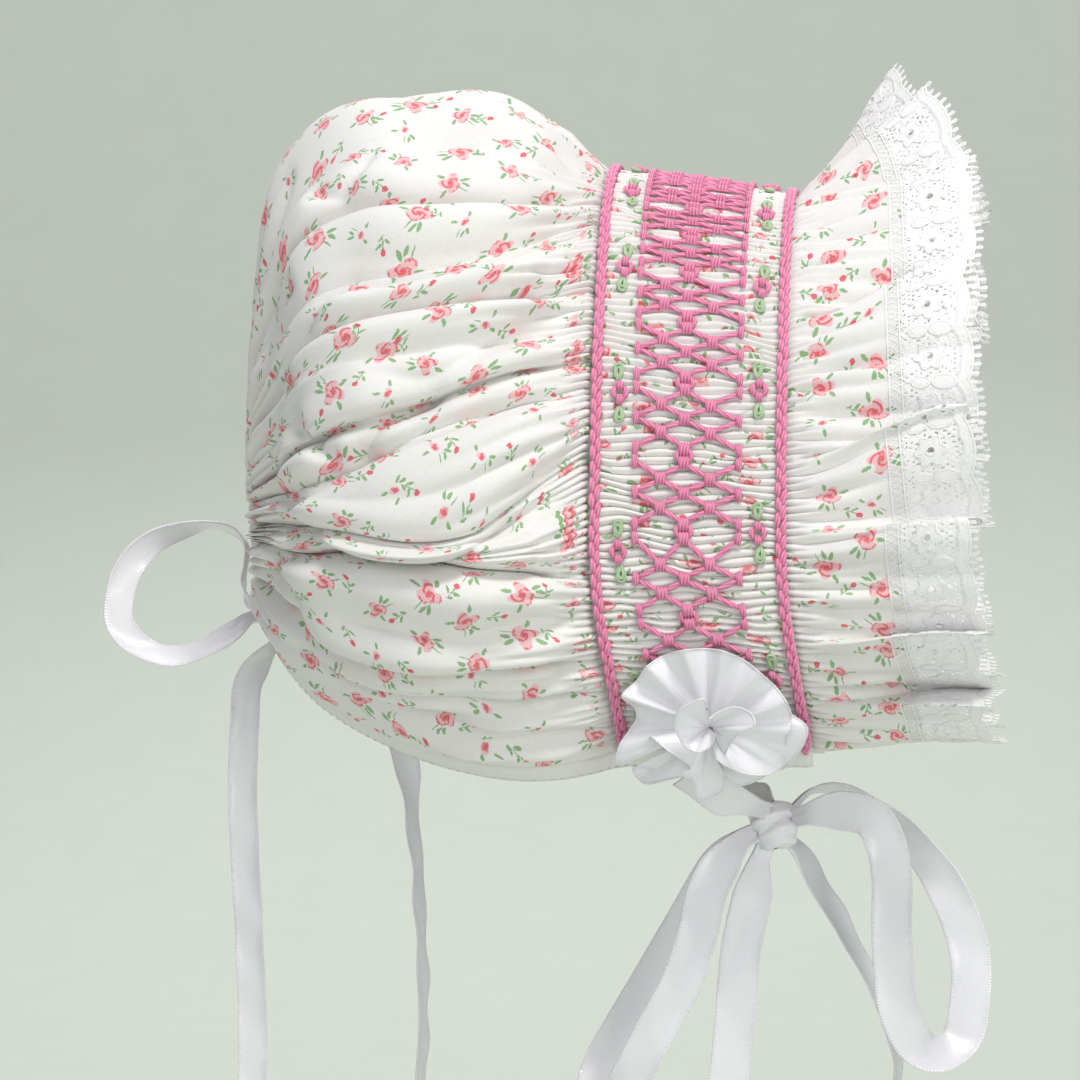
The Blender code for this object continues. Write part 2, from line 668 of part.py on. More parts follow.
def knot_face(radii, way):
    """The offset from a knot's middle to just off its face, along way."""
    way = way / np.linalg.norm(way)
    return way * (1.0 / np.linalg.norm(way / np.array(radii)) + GAP)


def bow_ribbon(name, knot, radii, bends, size, width, samples):
    """A loop or a tail of a bow, seated on its knot at its first point and, as a loop, at its last."""
    offsets = [np.array([bend.aside, -bend.forward, -bend.down]) * size for bend in bends]
    turns = [bend.turn for bend in bends]
    offsets.insert(0, knot_face(radii, offsets[0]))
    turns.insert(0, turns[0])
    if "loop" in name:
        offsets.append(knot_face(radii, offsets[-1]))
        turns.append(turns[-1])
    points = np.array(knot) + np.array(offsets)
    return ribbon_body(name, points, turned(points, turns), width, samples)


def tie_root(side):
    """Where a chin tie is stitched on, just under the hem of the band's end."""
    edge, onward = neck_edge(side, [-TIE_PLACE])
    return edge[0] + onward[0] * (BINDING_WIDTH + GAP) + np.array([0.0, 0.0, -RIBBON_WALL - 2.0 * GAP])


def chin_knot():
    root = tie_root(-1.0)
    return np.array([-CHIN_KNOT_ASIDE, -CHIN_KNOT_FORWARD, root[2] - CHIN_KNOT_BELOW_HEM])


def build_chin_tie(name, side):
    """The stretch of ribbon under the chin, from the band's end to the knot."""
    root = tie_root(side)
    knot = chin_knot()
    end = knot + np.array([side * (CHIN_KNOT[0] + GAP), *TIE_ON_KNOT])
    middle = 0.5 * (root + end) + np.array([0.0, 0.0, -TIE_SAG])
    points = [root, 0.5 * (root + middle), middle, 0.5 * (middle + end), end]
    tilt = np.radians([0.0, 14.0, 26.0, 34.0, 37.0])
    across = np.stack([0.0 * tilt, -np.cos(tilt), np.sin(tilt)], axis=1)
    return ribbon_body(name, points, across, CHIN_RIBBON, 9)


def back_knot():
    """The nape knot, in the slit of the neck edge just under the ring."""
    back = BAND_BACK + CROWN_LENGTH * column(SECTIONS, "back", 1.0)
    return np.array([0.0, float(back) - 0.001, -RING_DROP - RING_RADIUS - BACK_KNOT[2] - GAP])


def lying_points(lies):
    """Points off the crown's far face, and the way of the ribbon's width at each."""
    points = []
    across = []
    step = 0.01
    for lie in lies:
        around, place = np.array(lie.around), np.array(lie.place)
        here = crown_envelope(around, place)
        onward = crown_envelope(around + step, place) - here
        rearward = crown_envelope(around, place + step) - here
        onward = onward / np.linalg.norm(onward)
        rearward = rearward / np.linalg.norm(rearward)
        out = np.cross(rearward, onward)
        out = out / np.linalg.norm(out)
        out = out if float(np.dot(out, here - np.array([0.0, 0.0, -EAR_DROP]))) > 0.0 else -out
        points.append(here + out * lie.off * CLOTH_LIFT)
        angle = math.radians(lie.turn)
        across.append(math.cos(angle) * onward + math.sin(angle) * rearward)
    return points, across


def build_far_loop():
    """The bow's other loop, which lies against the crown's far side."""
    points, across = lying_points(FAR_LOOP)
    return ribbon_body("back_loop_right", points, across, BACK_RIBBON, 20)


def build_far_tail():
    """The bow's other tail: along the far neck edge, then down."""
    points, across = lying_points(FAR_TAIL)
    start = points[-1]
    hung = [start + np.array([0.0, -hang.forward, -hang.down]) * BACK_LOOP for hang in FAR_TAIL_HANG]
    hung_across = turned([start] + hung, [0.0] + [hang.turn for hang in FAR_TAIL_HANG])[1:]
    return ribbon_body("back_tail_left", points + hung, across + list(hung_across), BACK_RIBBON, 20)


def build_ribbons():
    knot = chin_knot()
    build_chin_tie("chin_tie_right", -1.0)
    build_chin_tie("chin_tie_left", 1.0)
    build_knot("chin_knot", knot, CHIN_KNOT)
    bow_ribbon("chin_loop_front", knot, CHIN_KNOT, CHIN_LOOP_FRONT, CHIN_LOOP, CHIN_RIBBON, 36)
    bow_ribbon("chin_loop_back", knot, CHIN_KNOT, CHIN_LOOP_BACK, CHIN_LOOP, CHIN_RIBBON, 30)
    bow_ribbon("chin_tail_back", knot, CHIN_KNOT, CHIN_TAIL_BACK, CHIN_LOOP, CHIN_RIBBON, 12)
    bow_ribbon("chin_tail_front", knot, CHIN_KNOT, CHIN_TAIL_FRONT, CHIN_LOOP, CHIN_RIBBON, 12)
    nape = back_knot()
    build_knot("back_knot", nape, BACK_KNOT)
    bow_ribbon("back_loop_left", nape, BACK_KNOT, BACK_LOOP_LEFT, BACK_LOOP, BACK_RIBBON, 32)
    bow_ribbon("back_tail_right", nape, BACK_KNOT, BACK_TAIL_RIGHT, BACK_LOOP, BACK_RIBBON, 16)
    build_far_loop()
    build_far_tail()


def main():
    for old in list(bpy.data.objects):
        bpy.data.objects.remove(old, do_unlink=True)
    build_crown()
    build_band()
    build_ruffle()
    build_lace()
    build_binding("neck_binding_right", -1.0)
    build_binding("neck_binding_left", 1.0)
    build_casing()
    build_rosette("rosette_right", -1.0)
    build_rosette("rosette_left", 1.0)
    build_ribbons()


main()
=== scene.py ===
"""The looks of a baby's smocked cotton bonnet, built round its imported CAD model.

Every size is in metres, in the model's own frame: +Z up, the face opening towards -Y and the
wearer's right towards -X. The cloth follows the same section and fold tables as the CAD solids.
"""

import math
from collections import namedtuple

import bpy
import numpy as np
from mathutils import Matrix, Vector


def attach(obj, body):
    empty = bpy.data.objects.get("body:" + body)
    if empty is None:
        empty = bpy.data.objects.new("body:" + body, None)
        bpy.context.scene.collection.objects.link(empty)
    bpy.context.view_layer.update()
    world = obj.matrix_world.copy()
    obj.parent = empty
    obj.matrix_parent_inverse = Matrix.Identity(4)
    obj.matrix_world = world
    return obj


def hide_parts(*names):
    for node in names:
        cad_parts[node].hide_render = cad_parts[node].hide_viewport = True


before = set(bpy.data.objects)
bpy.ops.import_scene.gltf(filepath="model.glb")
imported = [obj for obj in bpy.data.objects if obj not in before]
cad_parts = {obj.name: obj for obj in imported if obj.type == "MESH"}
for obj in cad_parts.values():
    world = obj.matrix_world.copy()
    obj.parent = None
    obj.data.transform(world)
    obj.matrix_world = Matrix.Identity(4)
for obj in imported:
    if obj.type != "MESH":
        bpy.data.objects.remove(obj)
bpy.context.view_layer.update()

MM = 0.001


def table(kind, rows):
    """Rows of plain numbers, each as one kind of named row."""
    return tuple(kind(*row) for row in rows)


# Head and cloth sizes, as in the CAD model.
HEAD_RISE = 0.0920
HEAD_HALF_WIDTH = 0.0660
HEAD_LOW = 0.0580
NECK_ANGLE = 140.0
BAND_LENGTH = 0.0450
BAND_BACK = 0.0230
BAND_FALL = 0.0064
BAND_WALL = 0.0018
END_LEAN = 0.0050
LEAN_FROM = 0.62
CROWN_LENGTH = 0.0850
CROWN_WALL = 0.0012
BACK_ROUNDING = 0.0090
FOLD_DEPTH = 0.0085
FOLD_FULLNESS = 0.75
LAP_PULL = 1.5
FAR_SHIFT = 0.0120
RING_RADIUS = 0.0220
RING_ABOVE_EAR = 0.0130
RING_ANGLE = 166.0
CASING_WIDTH = 0.0072
CASING_LENGTH = 0.0054
RUFFLE_LENGTH = 0.0260
LACE_LENGTH = 0.0160
LACE_OVERLAP = 0.0035
LACE_WIDTH = 0.0230
BINDING_WIDTH = 0.0075
BINDING_WALL = 0.0016
CHIN_RIBBON = 0.0095
BACK_RIBBON = 0.0070
CHIN_LOOP = 0.0535
BACK_LOOP = 0.0400
CHIN_KNOT_ASIDE = 0.0150
CHIN_KNOT_FORWARD = 0.0166
CHIN_KNOT_BELOW_HEM = 0.0125
CHIN_KNOT = (0.0060, 0.0060, 0.0056)
BACK_KNOT = (0.0044, 0.0040, 0.0042)
TIE_PLACE = 0.34
TIE_SAG = 0.0012
TIE_ON_KNOT = (0.0010, 0.0035)
ROSETTE_PLACE = 0.50
ROSETTE_AROUND = 0.920
CLOTH_LIFT = 0.0028
GAP = 0.0003
EAR_DROP = HEAD_RISE - BAND_FALL / 2.0 - BAND_WALL
RING_DROP = EAR_DROP - RING_ABOVE_EAR

Section = namedtuple("Section", "place back rise half_width low ear neck")
SECTIONS = table(Section, (
    (0.00, 0.000, 1.000, 1.000, 1.000, 0.00, 0.00),
    (0.05, 0.059, 1.045, 1.100, 1.070, 0.08, 0.04),
    (0.12, 0.141, 1.117, 1.205, 1.170, 0.23, 0.08),
    (0.22, 0.282, 1.170, 1.300, 1.250, 0.46, 0.15),
    (0.33, 0.459, 1.157, 1.318, 1.220, 0.69, 0.23),
    (0.45, 0.650, 1.107, 1.250, 1.080, 0.92, 0.35),
    (0.57, 0.820, 0.985, 1.090, 0.860, 1.08, 0.46),
    (0.69, 0.930, 0.805, 0.852, 0.560, 1.15, 0.62),
    (0.81, 0.985, 0.545, 0.545, 0.280, 1.15, 0.77),
    (0.92, 0.988, 0.257, 0.227, 0.090, 1.08, 0.92),
    (1.00, 0.970, 0.000, 0.000, 0.000, 1.00, 1.00),
))

FOLD_STATIONS = (0.00, 0.12, 0.30, 0.50, 0.75)
Fold = namedtuple("Fold", "name start front middle rear ring depth lap reach")
FOLDS = table(Fold, (
    ("top_dimple", 0.131, 0.193, 0.202, 0.212, 0.230, 0.35, 0.0, 1.2),
    ("upper_valley", 0.181, 0.255, 0.292, 0.287, 0.290, 0.85, 0.3, 1.2),
    ("upper_lap", 0.233, 0.317, 0.376, 0.387, 0.389, 0.50, -0.3, 1.2),
    ("shoulder_valley", 0.342, 0.381, 0.416, 0.432, 0.430, 0.85, 0.4, 1.2),
    ("ear_dimple", 0.386, 0.425, 0.462, 0.480, 0.485, 0.35, 0.0, 0.5),
    ("ear_valley", 0.432, 0.463, 0.505, 0.530, 0.530, 1.00, 0.5, 1.2),
    ("ear_lap", 0.468, 0.500, 0.545, 0.575, 0.580, 0.60, -0.5, 1.2),
    ("centre_valley", 0.540, 0.590, 0.650, 0.646, 0.640, 1.00, 0.4, 1.2),
    ("cheek_lap", 0.675, 0.680, 0.692, 0.702, 0.710, 0.90, -0.5, 1.2),
    ("nape_pleat", 0.750, 0.755, 0.780, 0.785, 0.780, 0.40, 0.0, 0.4),
    ("lower_valley", 0.815, 0.825, 0.850, 0.862, 0.850, 0.80, 0.0, 1.2),
    ("hem_fold", 0.872, 0.880, 0.905, 0.915, 0.910, 0.60, 0.0, 0.7),
    ("hem_pleat", 0.936, 0.940, 0.955, 0.960, 0.960, 0.40, 0.0, 0.4),
))
CENTRE_FOLD = Fold("centre_dimple", 0.0, 0.0, 0.0, 0.0, 0.0, 0.30, 0.0, 1.2)

# The frill's panels, from the top middle down each side; lip is how far each panel's upper edge
# laps over the one above it.
Wave = namedtuple("Wave", "start flare reach lip")
WAVES = table(Wave, (
    (0.000, 46.0, 0.74, 0.0),
    (0.065, 38.0, 0.89, 0.0030),
    (0.150, 9.0, 1.01, 0.0045),
    (0.350, 3.0, 0.99, 0.0078),
    (0.530, 6.0, 1.00, 0.0090),
    (0.612, 7.0, 1.02, 0.0040),
    (0.770, 6.0, 0.99, 0.0080),
    (0.878, 5.0, 1.00, 0.0085),
    (1.000, 4.0, 0.98, 0.0),
))

# The ribbons' routes, as in the CAD model: shares of their loop's length from the knot.
Bend = namedtuple("Bend", "forward down aside turn")
CHIN_LOOP_FRONT = table(Bend, (
    (0.14, -0.05, -0.09, 80), (0.30, -0.07, -0.11, 80), (0.43, -0.04, -0.13, 82), (0.49, 0.06, -0.15, 84),
    (0.52, 0.22, -0.16, 88), (0.52, 0.42, -0.17, 90), (0.53, 0.62, -0.17, 90), (0.56, 0.82, -0.16, 88),
    (0.63, 0.95, -0.12, 74), (0.72, 1.00, -0.04, 62), (0.82, 0.94, 0.04, 74), (0.86, 0.76, 0.08, 88),
    (0.86, 0.58, 0.11, 90), (0.82, 0.43, 0.12, 86), (0.75, 0.27, 0.13, 74), (0.64, 0.12, 0.14, 56),
    (0.54, -0.01, 0.14, 36), (0.43, -0.10, 0.13, 22), (0.31, -0.15, 0.12, 16), (0.17, -0.15, 0.11, 14),
))
CHIN_LOOP_BACK = table(Bend, (
    (-0.12, 0.05, 0.04, 78), (-0.19, 0.10, 0.07, 80), (-0.26, 0.20, 0.10, 84), (-0.40, 0.44, 0.14, 90),
    (-0.54, 0.68, 0.15, 90), (-0.67, 0.90, 0.13, 88), (-0.76, 1.06, 0.08, 78), (-0.78, 1.17, -0.02, 66),
    (-0.71, 1.22, -0.12, 66), (-0.61, 1.08, -0.19, 78), (-0.51, 0.89, -0.22, 88),
    (-0.41, 0.71, -0.22, 92), (-0.33, 0.48, -0.19, 94), (-0.28, 0.27, -0.16, 90),
    (-0.20, 0.13, -0.12, 84), (-0.12, 0.05, -0.09, 80),
))
CHIN_TAIL_BACK = table(Bend, (
    (-0.06, 0.15, -0.05, 78), (-0.09, 0.29, -0.05, 80), (-0.14, 0.53, -0.07, 86),
    (-0.17, 0.85, -0.07, 82), (-0.20, 1.15, -0.06, 78), (-0.23, 1.40, -0.05, 76),
))
CHIN_TAIL_FRONT = table(Bend, (
    (0.10, 0.12, 0.13, 30), (0.22, 0.34, 0.20, 26), (0.38, 0.62, 0.26, 18), (0.48, 0.87, 0.29, 12),
    (0.53, 1.05, 0.29, 10), (0.52, 1.25, 0.28, 14), (0.50, 1.47, 0.27, 20),
))
BACK_LOOP_LEFT = table(Bend, (
    (-0.13, -0.03, 0.15, 24), (-0.24, -0.13, 0.30, 18), (-0.24, -0.27, 0.40, 8), (-0.24, -0.41, 0.42, 6),
    (-0.34, -0.50, 0.36, 14), (-0.50, -0.52, 0.22, 24), (-0.64, -0.48, 0.12, 38),
    (-0.77, -0.41, 0.03, 54), (-0.88, -0.28, -0.05, 68), (-0.93, -0.11, -0.10, 74),
    (-0.93, 0.05, -0.13, 70), (-0.84, 0.18, -0.15, 56), (-0.69, 0.25, -0.17, 40),
    (-0.54, 0.26, -0.18, 40), (-0.38, 0.20, -0.17, 48), (-0.24, 0.11, -0.12, 56),
    (-0.14, 0.03, -0.03, 60),
))
BACK_TAIL_RIGHT = table(Bend, (
    (0.01, 0.17, -0.07, 16), (-0.06, 0.27, -0.10, 50), (-0.14, 0.41, -0.14, 74), (-0.16, 0.66, -0.17, 82),
    (-0.17, 1.10, -0.18, 88), (-0.15, 1.55, -0.18, 94), (-0.13, 1.95, -0.18, 96),
    (-0.11, 2.40, -0.18, 90), (-0.11, 2.80, -0.18, 84), (-0.11, 3.18, -0.18, 86),
))
Lie = namedtuple("Lie", "around place off turn")
FAR_LOOP = table(Lie, (
    (0.965, 0.880, 1.0, 90), (0.880, 0.830, 1.0, 70), (0.800, 0.740, 1.0, 40), (0.740, 0.660, 1.5, 20),
    (0.690, 0.680, 2.4, 0), (0.720, 0.750, 3.0, -20), (0.820, 0.820, 2.6, -45), (0.930, 0.860, 2.3, -70),
))
FAR_TAIL = table(Lie, (
    (1.040, 0.800, 1.0, 90), (1.015, 0.700, 1.0, 90), (1.005, 0.580, 1.2, 88), (1.005, 0.470, 1.6, 84),
))
Hang = namedtuple("Hang", "forward down turn")
FAR_TAIL_HANG = table(Hang, (
    (0.05, 0.18, 60), (0.08, 0.40, 30), (0.12, 0.86, 16), (0.15, 1.32, 14), (0.16, 1.78, 12),
    (0.14, 2.36, 16),
))

# A ribbon's section: places across it, as shares of its half width, and its half thickness there in
# millimetres; and how far from a knot the pinch in a ribbon starts and is full.
RIBBON_SHARES = (-1.0, -0.95, -0.86, -0.45, 0.0, 0.45, 0.86, 0.95, 1.0)
RIBBON_THICKNESS = (0.10, 0.26, 0.15, 0.15, 0.15, 0.15, 0.15, 0.26, 0.10)
PINCH_REACH = (0.0130, 0.0015)

# Sharp creases in the crown's cloth: how deep each is, how far its slopes reach above and below it,
# and its line as (around, place) points.
Crease = namedtuple("Crease", "depth above below line")
CREASES = table(Crease, (
    (0.0022, 0.0060, 0.0020, ((0.055, 0.10), (0.082, 0.18), (0.103, 0.27), (0.110, 0.40))),
    (0.0034, 0.0050, 0.0012, ((0.191, 0.02), (0.271, 0.15), (0.299, 0.28), (0.302, 0.39), (0.301, 0.51),
        (0.306, 0.60))),
    (0.0030, 0.0030, 0.0018, ((0.222, 0.42), (0.248, 0.45), (0.268, 0.49), (0.262, 0.54),
        (0.245, 0.60))),
    (0.0030, 0.0045, 0.0012, ((0.268, 0.01), (0.358, 0.18), (0.373, 0.25), (0.385, 0.33), (0.396, 0.40),
        (0.400, 0.50), (0.415, 0.57), (0.420, 0.68), (0.415, 0.86))),
    (0.0030, 0.0042, 0.0011, ((0.352, 0.01), (0.395, 0.14), (0.413, 0.25), (0.417, 0.33), (0.427, 0.42),
        (0.431, 0.56), (0.420, 0.70))),
    (0.0034, 0.0016, 0.0048, ((0.367, 0.01), (0.406, 0.10), (0.437, 0.17), (0.469, 0.24), (0.488, 0.30),
        (0.489, 0.37), (0.482, 0.44))),
    (0.0050, 0.0034, 0.0024, ((0.500, 0.27), (0.516, 0.32), (0.533, 0.39), (0.556, 0.44),
        (0.566, 0.50))),
    (0.0046, 0.0046, 0.0011, ((0.467, 0.00), (0.510, 0.16), (0.529, 0.26), (0.549, 0.35), (0.564, 0.41),
        (0.578, 0.49), (0.606, 0.63), (0.600, 0.76), (0.595, 0.90))),
    (0.0034, 0.0024, 0.0016, ((0.560, 0.47), (0.554, 0.54), (0.524, 0.61), (0.505, 0.72))),
    (0.0052, 0.0016, 0.0046, ((0.572, 0.00), (0.595, 0.08), (0.617, 0.15), (0.643, 0.21), (0.670, 0.26),
        (0.688, 0.31), (0.694, 0.38), (0.683, 0.49), (0.655, 0.58), (0.612, 0.66), (0.560, 0.78))),
    (0.0044, 0.0040, 0.0011, ((0.668, 0.00), (0.686, 0.08), (0.701, 0.20), (0.707, 0.32), (0.706, 0.50),
        (0.722, 0.66), (0.743, 0.83))),
    (0.0022, 0.0050, 0.0018, ((0.730, 0.02), (0.765, 0.10), (0.800, 0.22), (0.808, 0.30))),
    (0.0030, 0.0060, 0.0018, ((0.798, 0.02), (0.838, 0.10), (0.872, 0.20), (0.893, 0.34), (0.885, 0.49),
        (0.845, 0.60), (0.834, 0.78))),
    (0.0026, 0.0050, 0.0018, ((0.867, 0.02), (0.895, 0.12), (0.914, 0.24), (0.940, 0.35),
        (0.950, 0.50))),
    (0.0024, 0.0030, 0.0014, ((0.470, 0.62), (0.455, 0.74), (0.440, 0.88))),
    (0.0024, 0.0030, 0.0014, ((0.360, 0.62), (0.350, 0.74), (0.345, 0.88))),
    (0.0024, 0.0014, 0.0030, ((0.780, 0.58), (0.775, 0.70), (0.770, 0.86))),
    (0.0026, 0.0044, 0.0014, ((0.135, 0.03), (0.158, 0.12), (0.185, 0.22), (0.205, 0.32),
        (0.215, 0.43))),
    (0.0020, 0.0050, 0.0016, ((0.020, 0.14), (0.035, 0.25), (0.050, 0.38), (0.070, 0.52),
        (0.110, 0.66))),
    (0.0024, 0.0030, 0.0014, ((0.180, 0.62), (0.210, 0.74), (0.240, 0.90))),
    (0.0018, 0.0014, 0.0036, ((0.310, 0.02), (0.340, 0.08), (0.360, 0.13))),
    (0.0018, 0.0014, 0.0036, ((0.520, 0.01), (0.545, 0.06), (0.562, 0.12))),
    (0.0018, 0.0036, 0.0012, ((0.620, 0.01), (0.640, 0.07), (0.655, 0.13))),
))
FAR_CREASE_SHIFT = 0.010

# The camera: level with the bonnet's middle, turned a little towards the face opening.
CAMERA_DISTANCE = 1.15
CAMERA_TURN = math.radians(5.5)
CAMERA_AIM = (0.0, 0.0403, -0.0830)
FRAME_WIDTH = 0.2592
SENSOR = 36.0

# The studio: the floor starts in front of the bonnet and curves up into a wall behind it.
FLOOR_HEIGHT = -0.30
FLOOR_START = -1.2
WALL_CURVE = 1.2
WALL_TOP = 2.6
HALF_FLOOR = 3.0
SKY_COLOUR = (0.93, 0.96, 1.0, 1.0)
SKY_STRENGTH = 0.30
BONNET_MIDDLE = (0.0, 0.02, -0.07)
WALL_MIDDLE = (2.0, 0.0, 0.2)
WHITE_LIGHT = (1.0, 1.0, 1.0)
Lamp = namedtuple("Lamp", "name place size power colour target")
LAMPS = table(Lamp, (
    ("key", (-0.75, -0.25, 1.05), 0.45, 10.2, (1.0, 0.985, 0.96), BONNET_MIDDLE),
    ("fill", (-1.30, 0.45, 0.10), 1.0, 1.9, (0.94, 0.97, 1.0), BONNET_MIDDLE),
    ("front", (-1.05, -0.75, 0.30), 0.5, 2.2, WHITE_LIGHT, BONNET_MIDDLE),
    ("far_side", (1.1, 0.2, 0.7), 1.0, 5.0, WHITE_LIGHT, BONNET_MIDDLE),
    ("low", (-0.95, -0.70, -0.22), 0.8, 2.2, WHITE_LIGHT, BONNET_MIDDLE),
    ("wall", (0.6, 0.3, 1.6), 1.4, 14.0, WHITE_LIGHT, WALL_MIDDLE),
))

# Fine cloth: the band's pleats, the laps and waves at its edges, and the threads over them.
PLEAT_PITCH = 0.00175
PLEAT_HEIGHT = 0.0014
BAND_PLEAT = 0.0018
PLEAT_CLOTH = 0.0044
PLEAT_SHOWN = 0.0022
FINE_LAP = 0.0034
SHOULDER_RISE = 0.0006
RUFFLE_WAVE = 0.0110
THREAD_LIFT = 0.0007
TUCK = 0.0012
CASING_GATHERS = 64
SEAM_THREAD = (0.00018, 0.00014)
SEAM_STITCH = 0.0014
SEAM_PITCH = 0.0022
ROSETTE_WIDTH = 0.018
SELVEDGE = 0.00024

# Where the print starts on the band and on the ruffle, and how much of it goes round the ring and
# round its channel.
BAND_PRINT = 0.137
RUFFLE_PRINT = 0.19
CASING_PRINT = (0.40, 0.020)

# Embroidery on the band. Trellis columns and rows of flowers, from the band's back edge.
TRELLIS_COLUMNS = (0.0108, 0.0162, 0.0216, 0.0276, 0.0338)
TRELLIS_LEVELS = (0.0, 0.31, 0.50, 0.69)
TRELLIS_ROUND = (0.0, 0.311, 0.383, 0.458, 0.538, 0.616, 0.736, 0.955)
TRELLIS_REPEATS = (0.0, 5.0, 6.0, 7.0, 8.0, 9.0, 10.0, 11.75)
BACK_FLOWERS = (0.0, 0.155, 0.313, 0.473, 0.637, 0.875)
FRONT_FLOWERS = (0.025, 0.175, 0.325, 0.461, 0.617, 0.844)
BACK_FLOWER_COLUMN = 0.0066
FRONT_FLOWER_COLUMN = 0.0386
CABLE_ASIDE = 0.00065
CABLE_FROM_EDGE = 0.0012
CABLE_SLIP = 0.00012
KNOT_LENGTH = 0.0027
KNOT_THREAD = 0.00074
FULL_REPEAT = 0.0130
LEAF_AWAY = 0.0050
LEAF_THREAD = (0.00042, 0.00046)

# How far each kind of stitch is lifted off the pleats and bowed, and its thread's half sizes.
Stitch = namedtuple("Stitch", "lift bow width height")
CABLE_STITCH = Stitch(0.0003, 0.0010, 0.00072, 0.00060)
KNOT_STITCH = Stitch(0.0008, 0.0008, 0.00050, 0.00050)
SIDE_STITCH = Stitch(0.0007, 0.0006, 0.00056, 0.00050)
SLANT_STITCH = Stitch(0.0008, 0.0004, 0.00064, 0.00050)
PETAL_STITCH = Stitch(0.0007, 0.0009, 0.00058, 0.00052)
CURL_STITCH = Stitch(0.0006, 0.0008, 0.00062, 0.00054)
STITCH_RINGS = 7


def smooth(low, high, x):
    """0 at low, 1 at high, with level ends."""
    share = np.clip((np.asarray(x, float) - low) / (high - low), 0.0, 1.0)
    return share * share * (3.0 - 2.0 * share)


def curve(places, values, x):
    """A smooth curve through values at places, read at x; values may be points."""
    places = np.asarray(places, float)
    values = np.asarray(values, float)
    x = np.clip(np.asarray(x, float), places[0], places[-1])
    slopes = np.gradient(values, places, axis=0)
    i = np.clip(np.searchsorted(places, x, side="right") - 1, 0, len(places) - 2)
    step = places[i + 1] - places[i]
    u = (x - places[i]) / step
    if values.ndim > 1:
        u = u[..., None]
        step = step[..., None]
    start = (1.0 + 2.0 * u) * (1.0 - u) ** 2 * values[i] + u * (1.0 - u) ** 2 * step * slopes[i]
    end = u * u * (3.0 - 2.0 * u) * values[i + 1] + u * u * (u - 1.0) * step * slopes[i + 1]
    return start + end


def column(rows, name, x):
    """One named column of a table, as a smooth curve over the table's first column."""
    return curve([row[0] for row in rows], [getattr(row, name) for row in rows], x)


def unit(vectors):
    return vectors / np.maximum(np.linalg.norm(vectors, axis=-1, keepdims=True), 1e-12)


def running(points):
    """The length run along a row of points, up to each of them."""
    return np.concatenate([[0.0], np.cumsum(np.linalg.norm(np.diff(points, axis=0), axis=1))])


def stacked(*parts):
    """Arrays spread over one shape and joined along a new last axis."""
    return np.stack(np.broadcast_arrays(*parts), axis=-1)


def ripple(x, seed, pitch):
    """A smooth random line from -1 to 1, whose humps are about pitch apart."""
    random = np.random.default_rng(seed)
    total = 0.0
    for _ in range(5):
        total = total + np.sin(2.0 * np.pi * (x / (pitch * random.uniform(0.7, 1.9)) + random.uniform()))
    return total / 3.2


def round_section(around, back, rise, half_width, low, ear, neck):
    """Points of a section: half an oval over the ear line and a flatter one under it."""
    angle = np.radians(around * neck)
    height = np.where(np.cos(angle) > 0.0, rise, low)
    x = half_width * np.sin(angle)
    z = -ear + height * np.cos(angle)
    return stacked(x, back, z)


def end_lean(around):
    """How far the cloth leans forward towards the neck edge."""
    return -END_LEAN * smooth(LEAN_FROM, 1.0, np.abs(around))


def crown_envelope(around, place):
    """The crown's outer face before its folds; around runs from -1 to 1, place from 0 to 1."""
    back = BAND_BACK + CROWN_LENGTH * column(SECTIONS, "back", place)
    rise = RING_RADIUS + (HEAD_RISE - RING_RADIUS) * column(SECTIONS, "rise", place)
    half_width = RING_RADIUS + (HEAD_HALF_WIDTH - RING_RADIUS) * column(SECTIONS, "half_width", place)
    low = RING_RADIUS + (HEAD_LOW - RING_RADIUS) * column(SECTIONS, "low", place)
    ear = EAR_DROP + (RING_DROP - EAR_DROP) * column(SECTIONS, "ear", place)
    neck = NECK_ANGLE + (RING_ANGLE - NECK_ANGLE) * column(SECTIONS, "neck", place)
    sides = np.sin(np.radians(around * neck)) ** 2
    rounding = BACK_ROUNDING * sides * smooth(0.3, 0.8, place) * (1.0 - smooth(0.75, 1.0, place))
    back = back + end_lean(around) * (1.0 - place) - rounding
    return round_section(around, back, rise, half_width, low, ear, neck)


def band_surface(around, place):
    """The band's outer face; place runs from 0 at the crown to 1 at the ruffle."""
    back = BAND_BACK - GAP - (BAND_LENGTH - 2.0 * GAP) * place + end_lean(around)
    fall = BAND_FALL * place
    return round_section(around, back, HEAD_RISE - fall, HEAD_HALF_WIDTH, HEAD_LOW, EAR_DROP, NECK_ANGLE)


def outward_of(grid):
    """Directions that point away from the ear line."""
    away = grid * (1.0, 0.0, 1.0)
    away[..., 2] += EAR_DROP
    return away


def facing_out(grid):
    """Unit normals of a grid round the head, turned away from the line through the ears."""
    normal = unit(np.cross(np.gradient(grid, axis=0), np.gradient(grid, axis=1)))
    return normal if float(np.sum(normal * outward_of(grid))) > 0.0 else -normal


# Places along the band, as lengths of its cloth line from the top middle, left side above 0.
EVEN_ROUND = np.linspace(-1.0, 1.0, 2001)
EVEN_LINE = band_surface(EVEN_ROUND, 0.5 + 0.0 * EVEN_ROUND)
EVEN_LENGTH = running(EVEN_LINE)
EVEN_LENGTH = EVEN_LENGTH - EVEN_LENGTH[-1] / 2.0
HALF_LINE = float(EVEN_LENGTH[-1])
PLEATS = 2 * round(HALF_LINE / PLEAT_PITCH)


def length_of(around):
    return np.interp(around, EVEN_ROUND, EVEN_LENGTH)


def around_of(length):
    return np.interp(length, EVEN_LENGTH, EVEN_ROUND)


def pleat_line(number):
    """The length along the band's cloth line of pleats counted from the right neck edge."""
    return (2.0 * number / PLEATS - 1.0) * HALF_LINE


